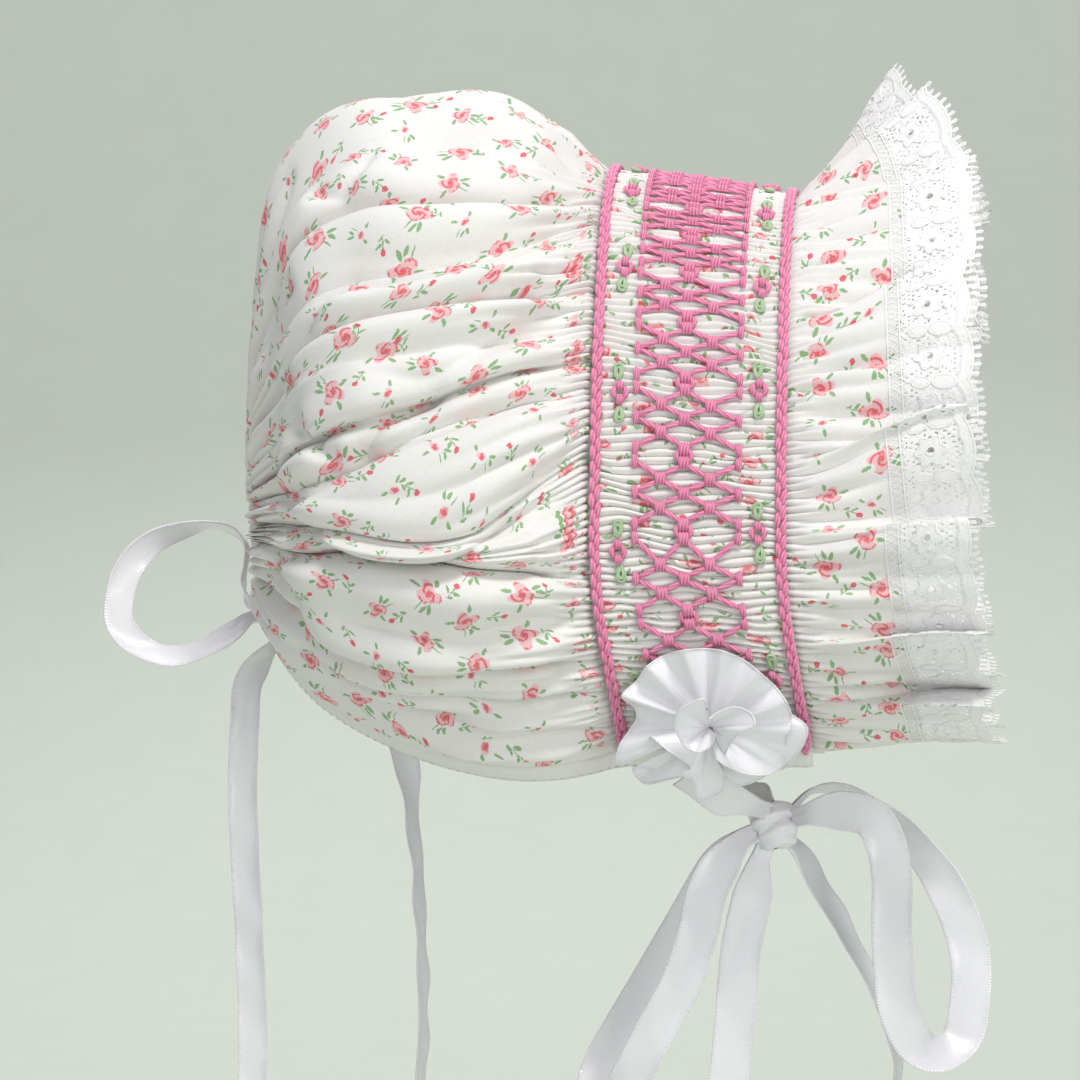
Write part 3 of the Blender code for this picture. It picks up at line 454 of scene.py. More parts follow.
def ridge(number, sharpness):
    """Rounded ridges with narrow valleys at the whole numbers, from -1 to 1."""
    return 2.0 * np.abs(np.sin(np.pi * number)) ** sharpness - 1.0


def grid_faces(rows, columns, wrap_rows=False, wrap_columns=False):
    """Quads of a grid of points, closed round either way where it wraps."""
    i = np.arange(rows if wrap_rows else rows - 1)[:, None]
    j = np.arange(columns if wrap_columns else columns - 1)[None, :]
    after = (i + 1) % rows
    beside = (j + 1) % columns
    corners = (i * columns + j, after * columns + j, after * columns + beside, i * columns + beside)
    return stacked(*corners).reshape(-1, 4)


def add_piece(name, vertices, faces, flat, material):
    """One smooth mesh of the bonnet. flat holds each vertex's place on the flat cloth, in metres."""
    mesh = bpy.data.meshes.new(name)
    mesh.vertices.add(len(vertices))
    mesh.vertices.foreach_set("co", np.asarray(vertices, np.float32).ravel())
    mesh.loops.add(faces.size)
    mesh.loops.foreach_set("vertex_index", faces.astype(np.int32).ravel())
    mesh.polygons.add(len(faces))
    mesh.polygons.foreach_set("loop_start", np.arange(0, faces.size, 4, dtype=np.int32))
    mesh.update(calc_edges=True)
    layer = mesh.uv_layers.new(name="flat_cloth")
    layer.data.foreach_set("uv", np.asarray(flat, np.float32)[faces.ravel()].ravel())
    mesh.validate()
    mesh.shade_smooth()
    mesh.materials.append(material)
    piece = bpy.data.objects.new(name, mesh)
    bpy.context.scene.collection.objects.link(piece)
    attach(piece, "root")
    return piece


def add_grid(name, grid, across, along, material, wrap_rows=False, wrap_columns=False):
    """A single layer of cloth: a grid of points with its flat places across and along."""
    rows, columns = grid.shape[:2]
    flat = stacked(across, along).reshape(-1, 2)
    faces = grid_faces(rows, columns, wrap_rows, wrap_columns)
    return add_piece(name, grid.reshape(-1, 3), faces, flat, material)


class Bundle:
    """Many small tubes and patches gathered into one piece."""

    def __init__(self):
        self.vertices = []
        self.faces = []
        self.flat = []
        self.count = 0

    def add(self, grids, flat, wrap_columns):
        """grids holds one grid of points for each tube: (tubes, rows, columns, 3)."""
        tubes, rows, columns = grids.shape[:3]
        faces = grid_faces(rows, columns, False, wrap_columns)
        first = self.count + np.arange(tubes)[:, None, None] * rows * columns
        self.faces.append((faces[None] + first).reshape(-1, 4))
        self.vertices.append(grids.reshape(-1, 3))
        self.flat.append(np.broadcast_to(flat, grids.shape[:3] + (2,)).reshape(-1, 2))
        self.count += tubes * rows * columns

    def piece(self, name, material, slot):
        vertices = np.concatenate(self.vertices)
        faces = np.concatenate(self.faces)
        return add_piece(name, vertices, faces, np.concatenate(self.flat), material)


def tubes(paths, lifts, width, height, sides, lobes=0, taper=0.0):
    """Tubes along paths (tubes, points, 3), flattened along lifts, with strand grooves."""
    tangent = unit(np.gradient(paths, axis=1))
    across = unit(np.cross(tangent, lifts))
    up = np.cross(across, tangent)
    share = np.linspace(-1.0, 1.0, paths.shape[1])
    end = 1.0 - taper * np.abs(share) ** 3
    angle = np.linspace(0.0, 2.0 * np.pi, sides, endpoint=False)
    groove = 1.0 + (0.13 * np.cos(lobes * angle[None, :] + 5.0 * share[:, None]) if lobes else 0.0)
    size = end[:, None] * groove
    grids = (
        paths[:, :, None, :]
        + across[:, :, None, :] * (np.cos(angle) * size * width)[None, :, :, None]
        + up[:, :, None, :] * (np.sin(angle) * size * height)[None, :, :, None]
    )
    steps = np.linalg.norm(np.diff(paths, axis=1), axis=-1)
    along = np.concatenate([np.zeros((len(paths), 1)), np.cumsum(steps, axis=1)], axis=1)
    flat = stacked(along[:, :, None], angle[None, None, :] / (2.0 * np.pi))
    return grids, flat


class Shader:
    """Builds one material's nodes. A value may be a number or another node's output."""

    def __init__(self, name, roughness, specular=0.5, sheen=0.0, anisotropic=0.0, coat=0.0):
        self.material = bpy.data.materials.new(name)
        self.material.use_nodes = True
        self.tree = self.material.node_tree
        self.principled = self.tree.nodes["Principled BSDF"]
        self.principled.inputs["Roughness"].default_value = roughness
        self.principled.inputs["Specular IOR Level"].default_value = specular
        self.principled.inputs["Sheen Weight"].default_value = sheen
        self.principled.inputs["Sheen Roughness"].default_value = 0.4
        self.principled.inputs["Anisotropic"].default_value = anisotropic
        self.principled.inputs["Coat Weight"].default_value = coat

    def put(self, value, socket):
        if isinstance(value, bpy.types.NodeSocket):
            self.tree.links.new(value, socket)
        else:
            socket.default_value = value

    def node(self, kind, inputs=(), **settings):
        node = self.tree.nodes.new("ShaderNode" + kind)
        for name, value in settings.items():
            setattr(node, name, value)
        for key, value in dict(inputs).items():
            self.put(value, node.inputs[key])
        return node

    def math(self, operation, *values):
        node = self.node("Math", enumerate(values), operation=operation)
        return node.outputs[0]

    def plus(self, *values):
        return self.math("ADD", *values)

    def minus(self, *values):
        return self.math("SUBTRACT", *values)

    def times(self, *values):
        return self.math("MULTIPLY", *values)

    def stretched(self, vector, *factors):
        return self.vector("MULTIPLY", vector, factors)

    def vector(self, operation, *values):
        node = self.node("VectorMath", enumerate(values), operation=operation)
        return node.outputs["Value" if operation in ("LENGTH", "DISTANCE") else "Vector"]

    def combine(self, x, y, z=0.0):
        return self.node("CombineXYZ", enumerate((x, y, z))).outputs[0]

    def ramp(self, value, low, high):
        """0 where value is at low and 1 where it is at high."""
        inputs = {"Value": value, "From Min": low, "From Max": high}
        return self.node("MapRange", inputs, clamp=True).outputs[0]

    def noise(self, vector, scale, detail=2.0):
        inputs = {"Vector": vector, "Scale": scale, "Detail": detail}
        return self.node("TexNoise", inputs).outputs["Fac"]

    def mix(self, share, first, second):
        node = self.node("Mix", data_type="RGBA")
        self.put(share, node.inputs["Factor"])
        self.put(first, node.inputs[6])
        self.put(second, node.inputs[7])
        return node.outputs[2]

    def flat_cloth(self):
        """The place on the flat cloth, in millimetres: vector, across and along."""
        place = self.node("UVMap", uv_map="flat_cloth").outputs[0]
        scaled = self.stretched(place, 1000.0, 1000.0, 0.0)
        parts = self.node("SeparateXYZ", {0: scaled}).outputs
        return scaled, parts[0], parts[1]

    def bump(self, height, distance, strength):
        inputs = {"Height": height, "Distance": distance, "Strength": strength}
        normal = self.node("Bump", inputs).outputs[0]
        self.put(normal, self.principled.inputs["Normal"])

    def colour(self, value):
        self.put(value, self.principled.inputs["Base Color"])
        return self.material


# The print's marks, in millimetres: each ellipse's middle, its half lengths and its turn in degrees.
ROSE_CELL = (13.0, 12.0)
OPEN_ROSE = (
    ((0.0, 0.0), (1.9, 1.7), 0.0), ((1.3, 0.9), (1.6, 1.2), 40.0), ((-1.2, 1.0), (1.5, 1.1), 130.0),
    ((-0.2, -1.6), (1.7, 1.0), 5.0),
)
CLOSED_ROSE = ((0.0, 0.3), (1.0, 1.6), 15.0)
ROSE_LEAVES = (
    ((3.1, -1.7), (1.2, 0.48), -30.0), ((2.4, -3.0), (1.2, 0.42), -70.0), ((-3.0, -1.2), (1.1, 0.45), 25.0),
    ((1.0, -3.4), (0.16, 1.5), 20.0), ((-0.6, 3.3), (0.45, 1.1), 20.0),
)
SPRIG = (
    ((0.0, 0.0), (0.14, 1.9), 12.0), ((0.9, 0.4), (0.95, 0.34), 40.0), ((-0.9, -0.5), (0.9, 0.32), -40.0),
    ((0.7, -1.4), (0.8, 0.3), 55.0),
)
SPRIG_BUD = ((-0.3, 2.0), (0.62, 0.8), 0.0)

WHITE_COTTON = (0.90, 0.885, 0.865, 1.0)
SHADED_COTTON = (0.82, 0.80, 0.77, 1.0)
ROSE_PALE = (0.93, 0.53, 0.55, 1.0)
ROSE_DEEP = (0.80, 0.060, 0.100, 1.0)
LEAF_LIGHT = (0.30, 0.52, 0.20, 1.0)
LEAF_DARK = (0.13, 0.36, 0.11, 1.0)
LACE_SHADE = (0.93, 0.925, 0.92, 1.0)
LACE_WHITE = (0.985, 0.98, 0.98, 1.0)
SATIN_LILAC = (0.885, 0.865, 0.935, 1.0)
SATIN_WHITE = (0.985, 0.975, 0.995, 1.0)
# Lit and shaded tones of the pink and green floss. The floss material paints the shaded tone into the grooves
# of its twist as painted shade.
PINK_FLOSS_LIT = (0.93, 0.38, 0.56, 1.0)
PINK_FLOSS_GROOVE_SHADE = (0.78, 0.15, 0.34, 1.0)
GREEN_FLOSS_LIT = (0.60, 0.76, 0.50, 1.0)
GREEN_FLOSS_GROOVE_SHADE = (0.30, 0.48, 0.24, 1.0)
PAPER_DARK = (0.60, 0.64, 0.57, 1.0)
PAPER_LIGHT = (0.63, 0.67, 0.60, 1.0)


def weave(shader, place):
    """The height of a plain weave: uneven threads both ways, finer than a millimetre."""
    across = shader.noise(shader.stretched(place, 3.6, 0.55, 1.0), 1.0, 1.0)
    along = shader.noise(shader.stretched(place, 0.55, 3.6, 1.0), 1.0, 1.0)
    return shader.plus(across, along)


def ellipse(shader, place, middle, radii, degrees, soft=0.12):
    """1 inside an ellipse and 0 outside it."""
    inputs = {
        "Vector": place,
        "Location": (*middle, 0.0),
        "Rotation": (0.0, 0.0, math.radians(degrees)),
        "Scale": (*radii, 1.0),
    }
    inside = shader.node("Mapping", inputs, vector_type="TEXTURE").outputs[0]
    flat = shader.stretched(inside, 1.0, 1.0, 0.0)
    return shader.ramp(shader.vector("LENGTH", flat), 1.0 + soft, 1.0 - soft)


def any_of(shader, masks):
    total = masks[0]
    for mask in masks[1:]:
        total = shader.math("MAXIMUM", total, mask)
    return total


def marks(shader, place, rows):
    """1 inside any ellipse of a table of marks."""
    return any_of(shader, [ellipse(shader, place, *row) for row in rows])


def motif_place(shader, across, along, cell, seed, spread):
    """A motif's own place in its cell of a half-drop layout, and the cell's random numbers."""
    row = shader.math("FLOOR", shader.math("DIVIDE", along, cell[1]))
    drop = shader.times(shader.math("MODULO", shader.math("ABSOLUTE", row), 2.0), 0.5)
    shifted = shader.plus(shader.math("DIVIDE", across, cell[0]), drop)
    number = shader.math("FLOOR", shifted)
    key = shader.combine(number, row, seed)
    random = shader.node("TexWhiteNoise", {0: key}, noise_dimensions="3D").outputs
    parts = shader.node("SeparateColor", {0: random["Color"]}).outputs
    x = shader.times(shader.minus(shader.minus(shifted, number), 0.5), cell[0])
    down = shader.minus(shader.math("DIVIDE", along, cell[1]), row)
    y = shader.times(shader.minus(down, 0.5), cell[1])
    x = shader.plus(x, shader.times(shader.minus(parts[0], 0.5), spread))
    y = shader.plus(y, shader.times(shader.minus(parts[1], 0.5), spread))
    inputs = {"Vector": shader.combine(x, y), "Angle": shader.times(parts[2], 2.0 * math.pi)}
    rotated = shader.node("VectorRotate", inputs, rotation_type="Z_AXIS").outputs[0]
    return rotated, random["Value"], parts


def rosebuds(shader, base, place, across, along):
    """A generic calico: open rosebuds with leaves, and small sprigs between them."""
    wobble = shader.noise(shader.stretched(place, 1.4, 1.4, 1.0), 1.0, 2.0)
    jitter = shader.times(shader.minus(wobble, 0.5), 0.9)
    ragged = shader.combine(jitter, shader.times(jitter, -0.7))

    spot, choice, parts = motif_place(shader, across, along, ROSE_CELL, 3.0, 3.4)
    size = shader.minus(1.38, shader.times(parts[0], 0.55))
    spot = shader.vector("MULTIPLY", spot, shader.combine(size, size, 1.0))
    spot = shader.vector("ADD", spot, ragged)
    full = shader.ramp(choice, 0.30, 0.32)
    open_rose = marks(shader, spot, OPEN_ROSE)
    bud = ellipse(shader, spot, *CLOSED_ROSE)
    bloom = shader.node("Mix", {"Factor": full, "A": bud, "B": open_rose}).outputs[0]
    leaves = marks(shader, spot, ROSE_LEAVES)
    radius = shader.vector("LENGTH", spot)
    xy = shader.node("SeparateXYZ", {0: spot}).outputs
    angle = shader.math("ARCTAN2", xy[1], xy[0])
    swirl = shader.plus(shader.times(angle, 2.0), shader.times(radius, 3.4))
    swirl = shader.plus(swirl, shader.times(wobble, 5.0))
    strokes = shader.ramp(shader.math("SINE", swirl), 0.30, 0.85)
    core = shader.ramp(radius, 1.0, 0.5)
    petal = shader.mix(shader.math("MAXIMUM", strokes, core), ROSE_PALE, ROSE_DEEP)

    lower = shader.plus(along, 0.5 * ROSE_CELL[1])
    twig, chance, _ = motif_place(shader, across, lower, ROSE_CELL, 9.0, 3.0)
    twig = shader.vector("ADD", twig, ragged)
    shown = shader.ramp(chance, 0.28, 0.30)
    sprig = marks(shader, twig, SPRIG)
    small_bud = ellipse(shader, twig, *SPRIG_BUD)
    sprig = shader.times(sprig, shown)
    small_bud = shader.times(small_bud, shown)

    green = shader.mix(wobble, LEAF_LIGHT, LEAF_DARK)
    printed = shader.ramp(shader.noise(shader.stretched(place, 4.0, 4.0, 1.0), 1.0, 1.0), 0.25, 0.55)
    ink = shader.plus(shader.times(printed, 0.30), 0.62)
    colour = shader.mix(shader.times(any_of(shader, [leaves, sprig]), ink), base, green)
    colour = shader.mix(shader.times(small_bud, ink), colour, ROSE_DEEP)
    return shader.mix(shader.times(bloom, ink), colour, petal)


def cotton_material(name, printed):
    shader = Shader(name, roughness=0.88, specular=0.25, sheen=0.12)
    place, across, along = shader.flat_cloth()
    threads = weave(shader, place)
    cloud = shader.noise(shader.stretched(place, 0.12, 0.12, 1.0), 1.0, 3.0)
    tone = shader.plus(shader.times(cloud, 0.35), shader.ramp(threads, 1.25, 0.75))
    base = shader.mix(shader.times(tone, 0.35), WHITE_COTTON, SHADED_COTTON)
    if printed:
        base = rosebuds(shader, base, place, across, along)
    shader.bump(threads, 0.00012, 0.55)
    return shader.colour(base)


def lace_material():
    shader = Shader("white_lace", roughness=0.80, specular=0.3, sheen=0.1)
    place, _, _ = shader.flat_cloth()
    strands = shader.noise(shader.stretched(place, 2.6, 2.6, 1.0), 1.0, 3.0)
    shader.bump(strands, 0.00014, 0.6)
    tone = shader.ramp(strands, 0.30, 0.70)
    return shader.colour(shader.mix(tone, LACE_SHADE, LACE_WHITE))


def satin_material():
    shader = Shader("lilac_white_satin", roughness=0.27, specular=0.9, sheen=0.05, anisotropic=0.5, coat=0.30)
    place, along, across = shader.flat_cloth()
    streaks = shader.noise(shader.stretched(place, 0.35, 9.0, 1.0), 1.0, 2.0)
    weft = shader.noise(shader.stretched(place, 6.0, 0.7, 1.0), 1.0, 1.0)
    selvedge = shader.ramp(across, 1.0, 0.7)
    picks = shader.times(shader.math("SINE", shader.times(along, 10.5)), selvedge)
    height = shader.plus(streaks, shader.times(weft, 0.3))
    shader.bump(shader.plus(height, shader.times(picks, 1.4)), 0.00006, 0.6)
    tone = shader.plus(shader.ramp(streaks, 0.25, 0.75), shader.times(picks, 0.8))
    return shader.colour(shader.mix(tone, SATIN_LILAC, SATIN_WHITE))


def floss_material(name, light, groove_shade):
    """Twisted strands of embroidery floss; the flat place is along the thread and round it. The colour is
    painted light and shade: a shaded tone in the grooves of the twist and a lit tone on the strands' crests,
    with random tone over it.
    """
    shader = Shader(name, roughness=0.55, specular=0.35, sheen=0.25)
    place = shader.node("UVMap", uv_map="flat_cloth").outputs[0]
    parts = shader.node("SeparateXYZ", {0: place}).outputs
    twist = shader.plus(shader.times(parts[0], 2200.0), shader.times(parts[1], 25.13))
    strand = shader.math("SINE", twist)
    shader.bump(strand, 0.00010, 0.7)
    spot = shader.node("TexCoord").outputs["Object"]
    fade = shader.noise(spot, 260.0, 2.0)
    # Painted shade and light: the shaded tone where the twist's bump is low, in its grooves, and the lit tone
    # on its crests. fade adds random tone.
    share = shader.plus(shader.ramp(strand, -1.0, 0.9), shader.times(fade, 0.5))
    return shader.colour(shader.mix(shader.times(share, 0.75), groove_shade, light))


def add_camera():
    data = bpy.data.cameras.new("camera")
    data.sensor_width = SENSOR
    data.lens = SENSOR * CAMERA_DISTANCE / FRAME_WIDTH
    camera = bpy.data.objects.new("camera", data)
    back = Vector((-math.cos(CAMERA_TURN), -math.sin(CAMERA_TURN), 0.0))
    camera.location = Vector(CAMERA_AIM) + back * CAMERA_DISTANCE
    camera.rotation_euler = (-back).to_track_quat("-Z", "Y").to_euler()
    bpy.context.scene.collection.objects.link(camera)
    bpy.context.scene.camera = camera


def add_light(lamp):
    data = bpy.data.lights.new(lamp.name, "AREA")
    data.shape = "DISK"
    data.size = lamp.size
    data.energy = lamp.power
    data.color = lamp.colour
    light = bpy.data.objects.new(lamp.name, data)
    light.location = lamp.place
    aim = Vector(lamp.target) - Vector(lamp.place)
    light.rotation_euler = aim.to_track_quat("-Z", "Y").to_euler()
    bpy.context.scene.collection.objects.link(light)


def backdrop_outline():
    """The backdrop's section: a floor that curves up into a wall."""
    rows = []
    for share in np.linspace(0.0, 1.0, 40):
        if share < 0.5:
            rows.append((FLOOR_START + 4.0 * share, FLOOR_HEIGHT))
        else:
            angle = (share - 0.5) * math.pi
            ahead = FLOOR_START + 2.0 + WALL_CURVE * math.sin(angle)
            rows.append((ahead, FLOOR_HEIGHT + WALL_CURVE * (1.0 - math.cos(angle))))
    rows.append((FLOOR_START + 2.0 + WALL_CURVE, WALL_TOP))
    return np.array(rows)


def add_studio():
    """A pale floor that curves up behind the bonnet, soft lamps and a dim even sky."""
    outline = backdrop_outline()
    wide = np.linspace(-HALF_FLOOR, HALF_FLOOR, 13)
    grid = stacked(outline[:, 0:1], wide[None, :], outline[:, 1:2])
    mesh = bpy.data.meshes.new("backdrop")
    mesh.from_pydata(grid.reshape(-1, 3).tolist(), [], grid_faces(*grid.shape[:2]).tolist())
    mesh.shade_smooth()
    shader = Shader("pale_paper", roughness=0.9, specular=0.2)
    grain = shader.noise(shader.node("TexCoord").outputs["Object"], 40.0, 4.0)
    mesh.materials.append(shader.colour(shader.mix(grain, PAPER_DARK, PAPER_LIGHT)))
    backdrop = bpy.data.objects.new("backdrop", mesh)
    bpy.context.scene.collection.objects.link(backdrop)
    for lamp in LAMPS:
        add_light(lamp)
    world = bpy.data.worlds.new("soft_sky")
    world.use_nodes = True
    sky = world.node_tree.nodes["Background"]
    sky.inputs["Color"].default_value = SKY_COLOUR
    sky.inputs["Strength"].default_value = SKY_STRENGTH
    bpy.context.scene.world = world
    bpy.context.scene.view_settings.view_transform = "Standard"


def fold_lines(places):
    """(around, depth, lap) of every fold line, one row each, from the wearer's right to the left."""
    rows = []
    for number, fold in enumerate(FOLDS):
        shares = curve(FOLD_STATIONS, fold[1:6], places)
        fade = 1.0 - smooth(fold.reach - 0.2, fold.reach, places)
        shift = FAR_SHIFT * math.sin(2.4 * number)
        rows.append((-shares, fold.depth * fade, -fold.lap))
        rows.append((shares + shift, fold.depth * fade, fold.lap))
    rows.append((0.0 * places, CENTRE_FOLD.depth + 0.0 * places, 0.0))
    edge = np.ones_like(places)
    rows.append((-edge, 0.0 * edge, 0.0))
    rows.append((edge, 0.0 * edge, 0.0))
    rows.sort(key=lambda row: row[0][0])
    return rows


def fold_columns(starts, places):
    """Grids of around, fold depth and overlap for cloth columns that begin at starts."""
    rows = fold_lines(places)
    around = np.empty((len(starts), len(places)))
    depth = np.empty_like(around)
    lap = np.empty_like(around)
    first = np.array([row[0][0] for row in rows])
    panel = np.clip(np.searchsorted(first, starts, side="right") - 1, 0, len(rows) - 2)
    for i in range(len(rows) - 1):
        own = panel == i
        start, start_depth, start_lap = rows[i]
        end, end_depth, end_lap = rows[i + 1]
        share = ((starts[own] - first[i]) / (first[i + 1] - first[i]))[:, None]
        pull = max(end_lap, 0.0) - max(-start_lap, 0.0)
        puff = np.sin(np.pi * share ** (2.0 ** (LAP_PULL * pull))) ** FOLD_FULLNESS
        around[own] = start + (end - start) * share
        depth[own] = (1.0 - puff) * (start_depth * (1.0 - share) + end_depth * share)
        toward_end = max(end_lap, 0.0) * np.sin(np.pi * share**4)
        toward_start = max(-start_lap, 0.0) * np.sin(np.pi * (1.0 - share) ** 4)
        lap[own] = toward_end - toward_start
    shallow_ends = (0.3 + 0.7 * smooth(0.0, 0.12, places)) * (1.0 - 0.55 * smooth(0.75, 1.0, places))
    return around, depth * shallow_ends, lap * shallow_ends


def crown_relief(number, places):
    """The height of gathers and small folds: fine at the band, wider and softer further back."""
    n = number[:, None]
    p = places[None, :]
    reach = 0.105 + 0.05 * ripple(n, 4, 5.0)
    fine = 0.5 * PLEAT_HEIGHT * ridge(n, 0.55) * (1.0 - smooth(0.01, reach, p))
    drift = n / 2.7 + 0.35 * ripple(n, 7, 11.0) + 0.8 * p * ripple(n, 8, 24.0)
    middle = 0.0012 * ridge(drift, 0.7) * smooth(0.01, 0.07, p) * (0.7 + 0.3 * ripple(n, 9, 9.0))
    middle = middle * (1.0 - smooth(0.12, 0.28 + 0.12 * ripple(n, 5, 12.0), p))
    broad = n / 6.6 + 0.35 * ripple(n, 11, 26.0) - 0.5 * p
    wide = 0.0022 * ridge(broad, 0.8) * smooth(0.03, 0.15, p) * (1.0 - smooth(0.34, 0.66, p))
    wide = wide * (0.6 + 0.4 * ripple(n, 12, 20.0))
    lazy = 0.0023 * ripple(n / 6.0 + 1.6 * ripple(p * 10.0 + 0.02 * n, 14, 5.0), 15, 2.6)
    lazy = lazy * smooth(0.12, 0.35, p) * (1.0 - smooth(0.75, 0.95, p))
    ring = n / 2.6 + 0.35 * ripple(n, 17, 9.0)
    drawn = 0.0019 * ridge(ring, 0.7) * smooth(0.62, 0.95, p)
    return fine + middle + wide + lazy + drawn


def crease_relief(around, places):
    """How far the sharp creases draw the cloth in, at grids of around for columns of places."""
    whole = np.linspace(-1.0, 1.0, 81)[:, None] + 0.0 * places
    section = crown_envelope(whole, places + 0.0 * whole)
    girth = np.linalg.norm(np.diff(section, axis=0), axis=-1).sum(axis=0) / 2.0
    total = 0.0 * around
    at_band = 0.25 + 0.75 * smooth(0.0, 0.07, places)
    for number, crease in enumerate(CREASES):
        starts = [point[1] for point in crease.line]
        line = curve(starts, [point[0] for point in crease.line], places)
        share = (places - starts[0]) / (starts[-1] - starts[0])
        ends = smooth(-0.04, 0.16, share) * (1.0 - smooth(0.72, 1.0, share))
        if starts[0] < 0.05:
            ends = np.where(share < 0.5, 0.35 + 0.65 * smooth(0.0, 0.2, share), ends) * (share > -0.2)
        for side in (-1.0, 1.0):
            shift = 0.0 if side < 0.0 else FAR_CREASE_SHIFT * math.sin(1.7 * number)
            away = (side * around - line - shift) * girth
            reach = np.where(away > 0.0, crease.below, crease.above)
            total = total + crease.depth * ends * np.exp(-((np.abs(away) / reach) ** 1.25))
    return total * at_band


def build_crown(material):
    """The puffed crown: pleats drawn up at the band and at the ring, with deep folds between."""
    number = np.linspace(0.0, PLEATS, 4 * PLEATS + 1)
    starts = around_of(pleat_line(number))
    front, middle, rear = np.linspace(0.0, 0.12, 18), np.linspace(0.12, 0.82, 56), np.linspace(0.82, 1.0, 18)
    places = np.concatenate([front[:-1], middle[:-1], rear])
    around, depth, lap = fold_columns(starts, places)
    envelope = crown_envelope(around, np.broadcast_to(places, around.shape))
    out = facing_out(envelope)
    onward = unit(np.gradient(envelope, axis=0))
    relief = crown_relief(number, places) - FOLD_DEPTH * depth - crease_relief(around, places)
    top = np.exp(-((around / 0.30) ** 2)) * np.exp(-(((places - 0.20) / 0.09) ** 2))
    relief = relief + SHOULDER_RISE * top
    hem = 1.0 - smooth(0.965, 0.998, np.abs(around))
    grid = envelope + out * (relief * hem)[..., None] + onward * (FINE_LAP * lap * hem)[..., None]
    grid[:, 0] += np.array([0.0, -TUCK, 0.0]) - out[:, 0] * TUCK
    across = running(grid[:, 38])
    along = np.cumsum(np.linalg.norm(np.diff(grid, axis=1, prepend=grid[:, :1]), axis=-1), axis=1)
    slip = np.random.default_rng(21).uniform(-0.004, 0.004, PLEATS + 1)[np.floor(number).astype(int)]
    slips = slip[:, None] * (1.0 - smooth(0.0, 0.09, places))[None, :]
    piece = add_grid("crown_cloth", grid, across[:, None] + slips, along, material)
    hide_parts("crown")


def trellis_nodes():
    """The trellis's knots: (length along the line, distance from the band's back, quarter of the
    repeat, row, count from the top middle, side) of each."""
    nodes = []
    for side in (-1.0, 1.0):
        for repeat in range(12):
            for quarter, level in enumerate(TRELLIS_LEVELS):
                count = repeat + level
                if count > TRELLIS_REPEATS[-1] or (count == 0.0 and side > 0.0):
                    continue
                length = side * float(length_of(np.interp(count, TRELLIS_REPEATS, TRELLIS_ROUND)))
                for row, back in enumerate(TRELLIS_COLUMNS):
                    if (quarter + row) % 2 == 0:
                        nodes.append((length, back, quarter, row, repeat * 4 + quarter, side))
    return nodes


def pinched(length, back, nodes):
    """Where the pleats go: each stitch draws its neighbours a little towards it."""
    moved = np.array(length, float)
    for node_length, node_back in nodes:
        away = length - node_length
        near = np.exp(-((away / 0.0021) ** 2) - ((back - node_back) / 0.0022) ** 2)
        moved = moved - 0.50 * away * near
    return moved


def build_band(material):
    """The smocked band: close pleats that part a little between the rows of stitches."""
    number = np.linspace(0.0, PLEATS, 8 * PLEATS + 1)
    places = np.linspace(0.0, 1.0, 27)
    length = pleat_line(number)[:, None] + 0.0 * places[None, :]
    back = 0.0 * number[:, None] + (places * BAND_LENGTH)[None, :]
    wander = 0.00014 * ripple(number[:, None] / 2.0 + 4.0 * places[None, :], 31, 2.0)
    wander = wander + 0.0007 * ripple(number[:, None] / 12.0 + 2.5 * places[None, :], 32, 1.0)
    knots = [(node[0], node[1]) for node in trellis_nodes()]
    moved = pinched(length + wander, back, knots)
    around = around_of(moved)
    face = band_surface(around, np.broadcast_to(places, around.shape))
    out = facing_out(face)
    height = 0.5 * BAND_PLEAT * ridge(number, 0.5)[:, None] * (0.92 + 0.08 * ripple(number, 33, 5.0))[:, None]
    grid = face + out * height[..., None]
    whole = np.floor(np.minimum(number, PLEATS - 0.5))
    inside = number - whole - 0.5
    across = whole * PLEAT_CLOTH + inside * PLEAT_SHOWN
    piece = add_grid("band_cloth", grid, across[:, None], BAND_PRINT + back, material)
    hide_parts("smocked_band")


def band_lift(length, back, lift):
    """Points over the band's cloth line, and the way out from it."""
    around = around_of(length)
    place = back / BAND_LENGTH
    here = band_surface(around, place)
    out = unit(outward_of(here))
    return here + out * lift[..., None], out


def stitches(rows, stitch):
    """Plump stitches of floss over the pleats. Each row holds the length and the distance from the
    band's back where the stitch starts, the same where it ends, and how far it swings aside."""
    rows = np.asarray(rows, float)
    starts, ends, swing = rows[:, :2], rows[:, 2:4], rows[:, 4:]
    share = np.linspace(0.0, 1.0, STITCH_RINGS)[None, :]
    hump = np.sin(np.pi * share) ** 0.6
    length = starts[:, :1] + (ends - starts)[:, :1] * share
    back = starts[:, 1:] + (ends - starts)[:, 1:] * share + swing * hump
    lifts = THREAD_LIFT * 0.5 + stitch.lift + stitch.bow * hump + 0.0 * length
    paths, out = band_lift(length, back, lifts)
    return tubes(paths, out, stitch.width, stitch.height, 8, lobes=4, taper=0.35)


def build_cables(material):
    """A row of cable stitches along each edge of the band: each crosses two pleats."""
    bundle = Bundle()
    numbers = np.arange(1, PLEATS)
    random = np.random.default_rng(41)
    middle = pleat_line(numbers)
    side = np.where(numbers % 2 == 0, 1.0, -1.0)
    reach = 1.02 * PLEAT_PITCH
    for edge in (CABLE_FROM_EDGE, BAND_LENGTH - CABLE_FROM_EDGE):
        slip = random.normal(0.0, CABLE_SLIP, (2, len(numbers)))
        from_back = edge + CABLE_ASIDE * side * 0.55 + slip[0]
        to_back = edge + CABLE_ASIDE * side * 1.15 + slip[1]
        rows = np.stack([middle - reach, from_back, middle + reach, to_back, 0.0 * middle], axis=1)
        bundle.add(*stitches(rows, CABLE_STITCH), True)
    bundle.piece("cable_stitches", material, "pink_floss")


def over_pleats(middle, half, back, swing=0.0):
    """A row for one stitch that crosses the pleats: half its length lies each side of middle."""
    return (middle - half, back, middle + half, back, swing)


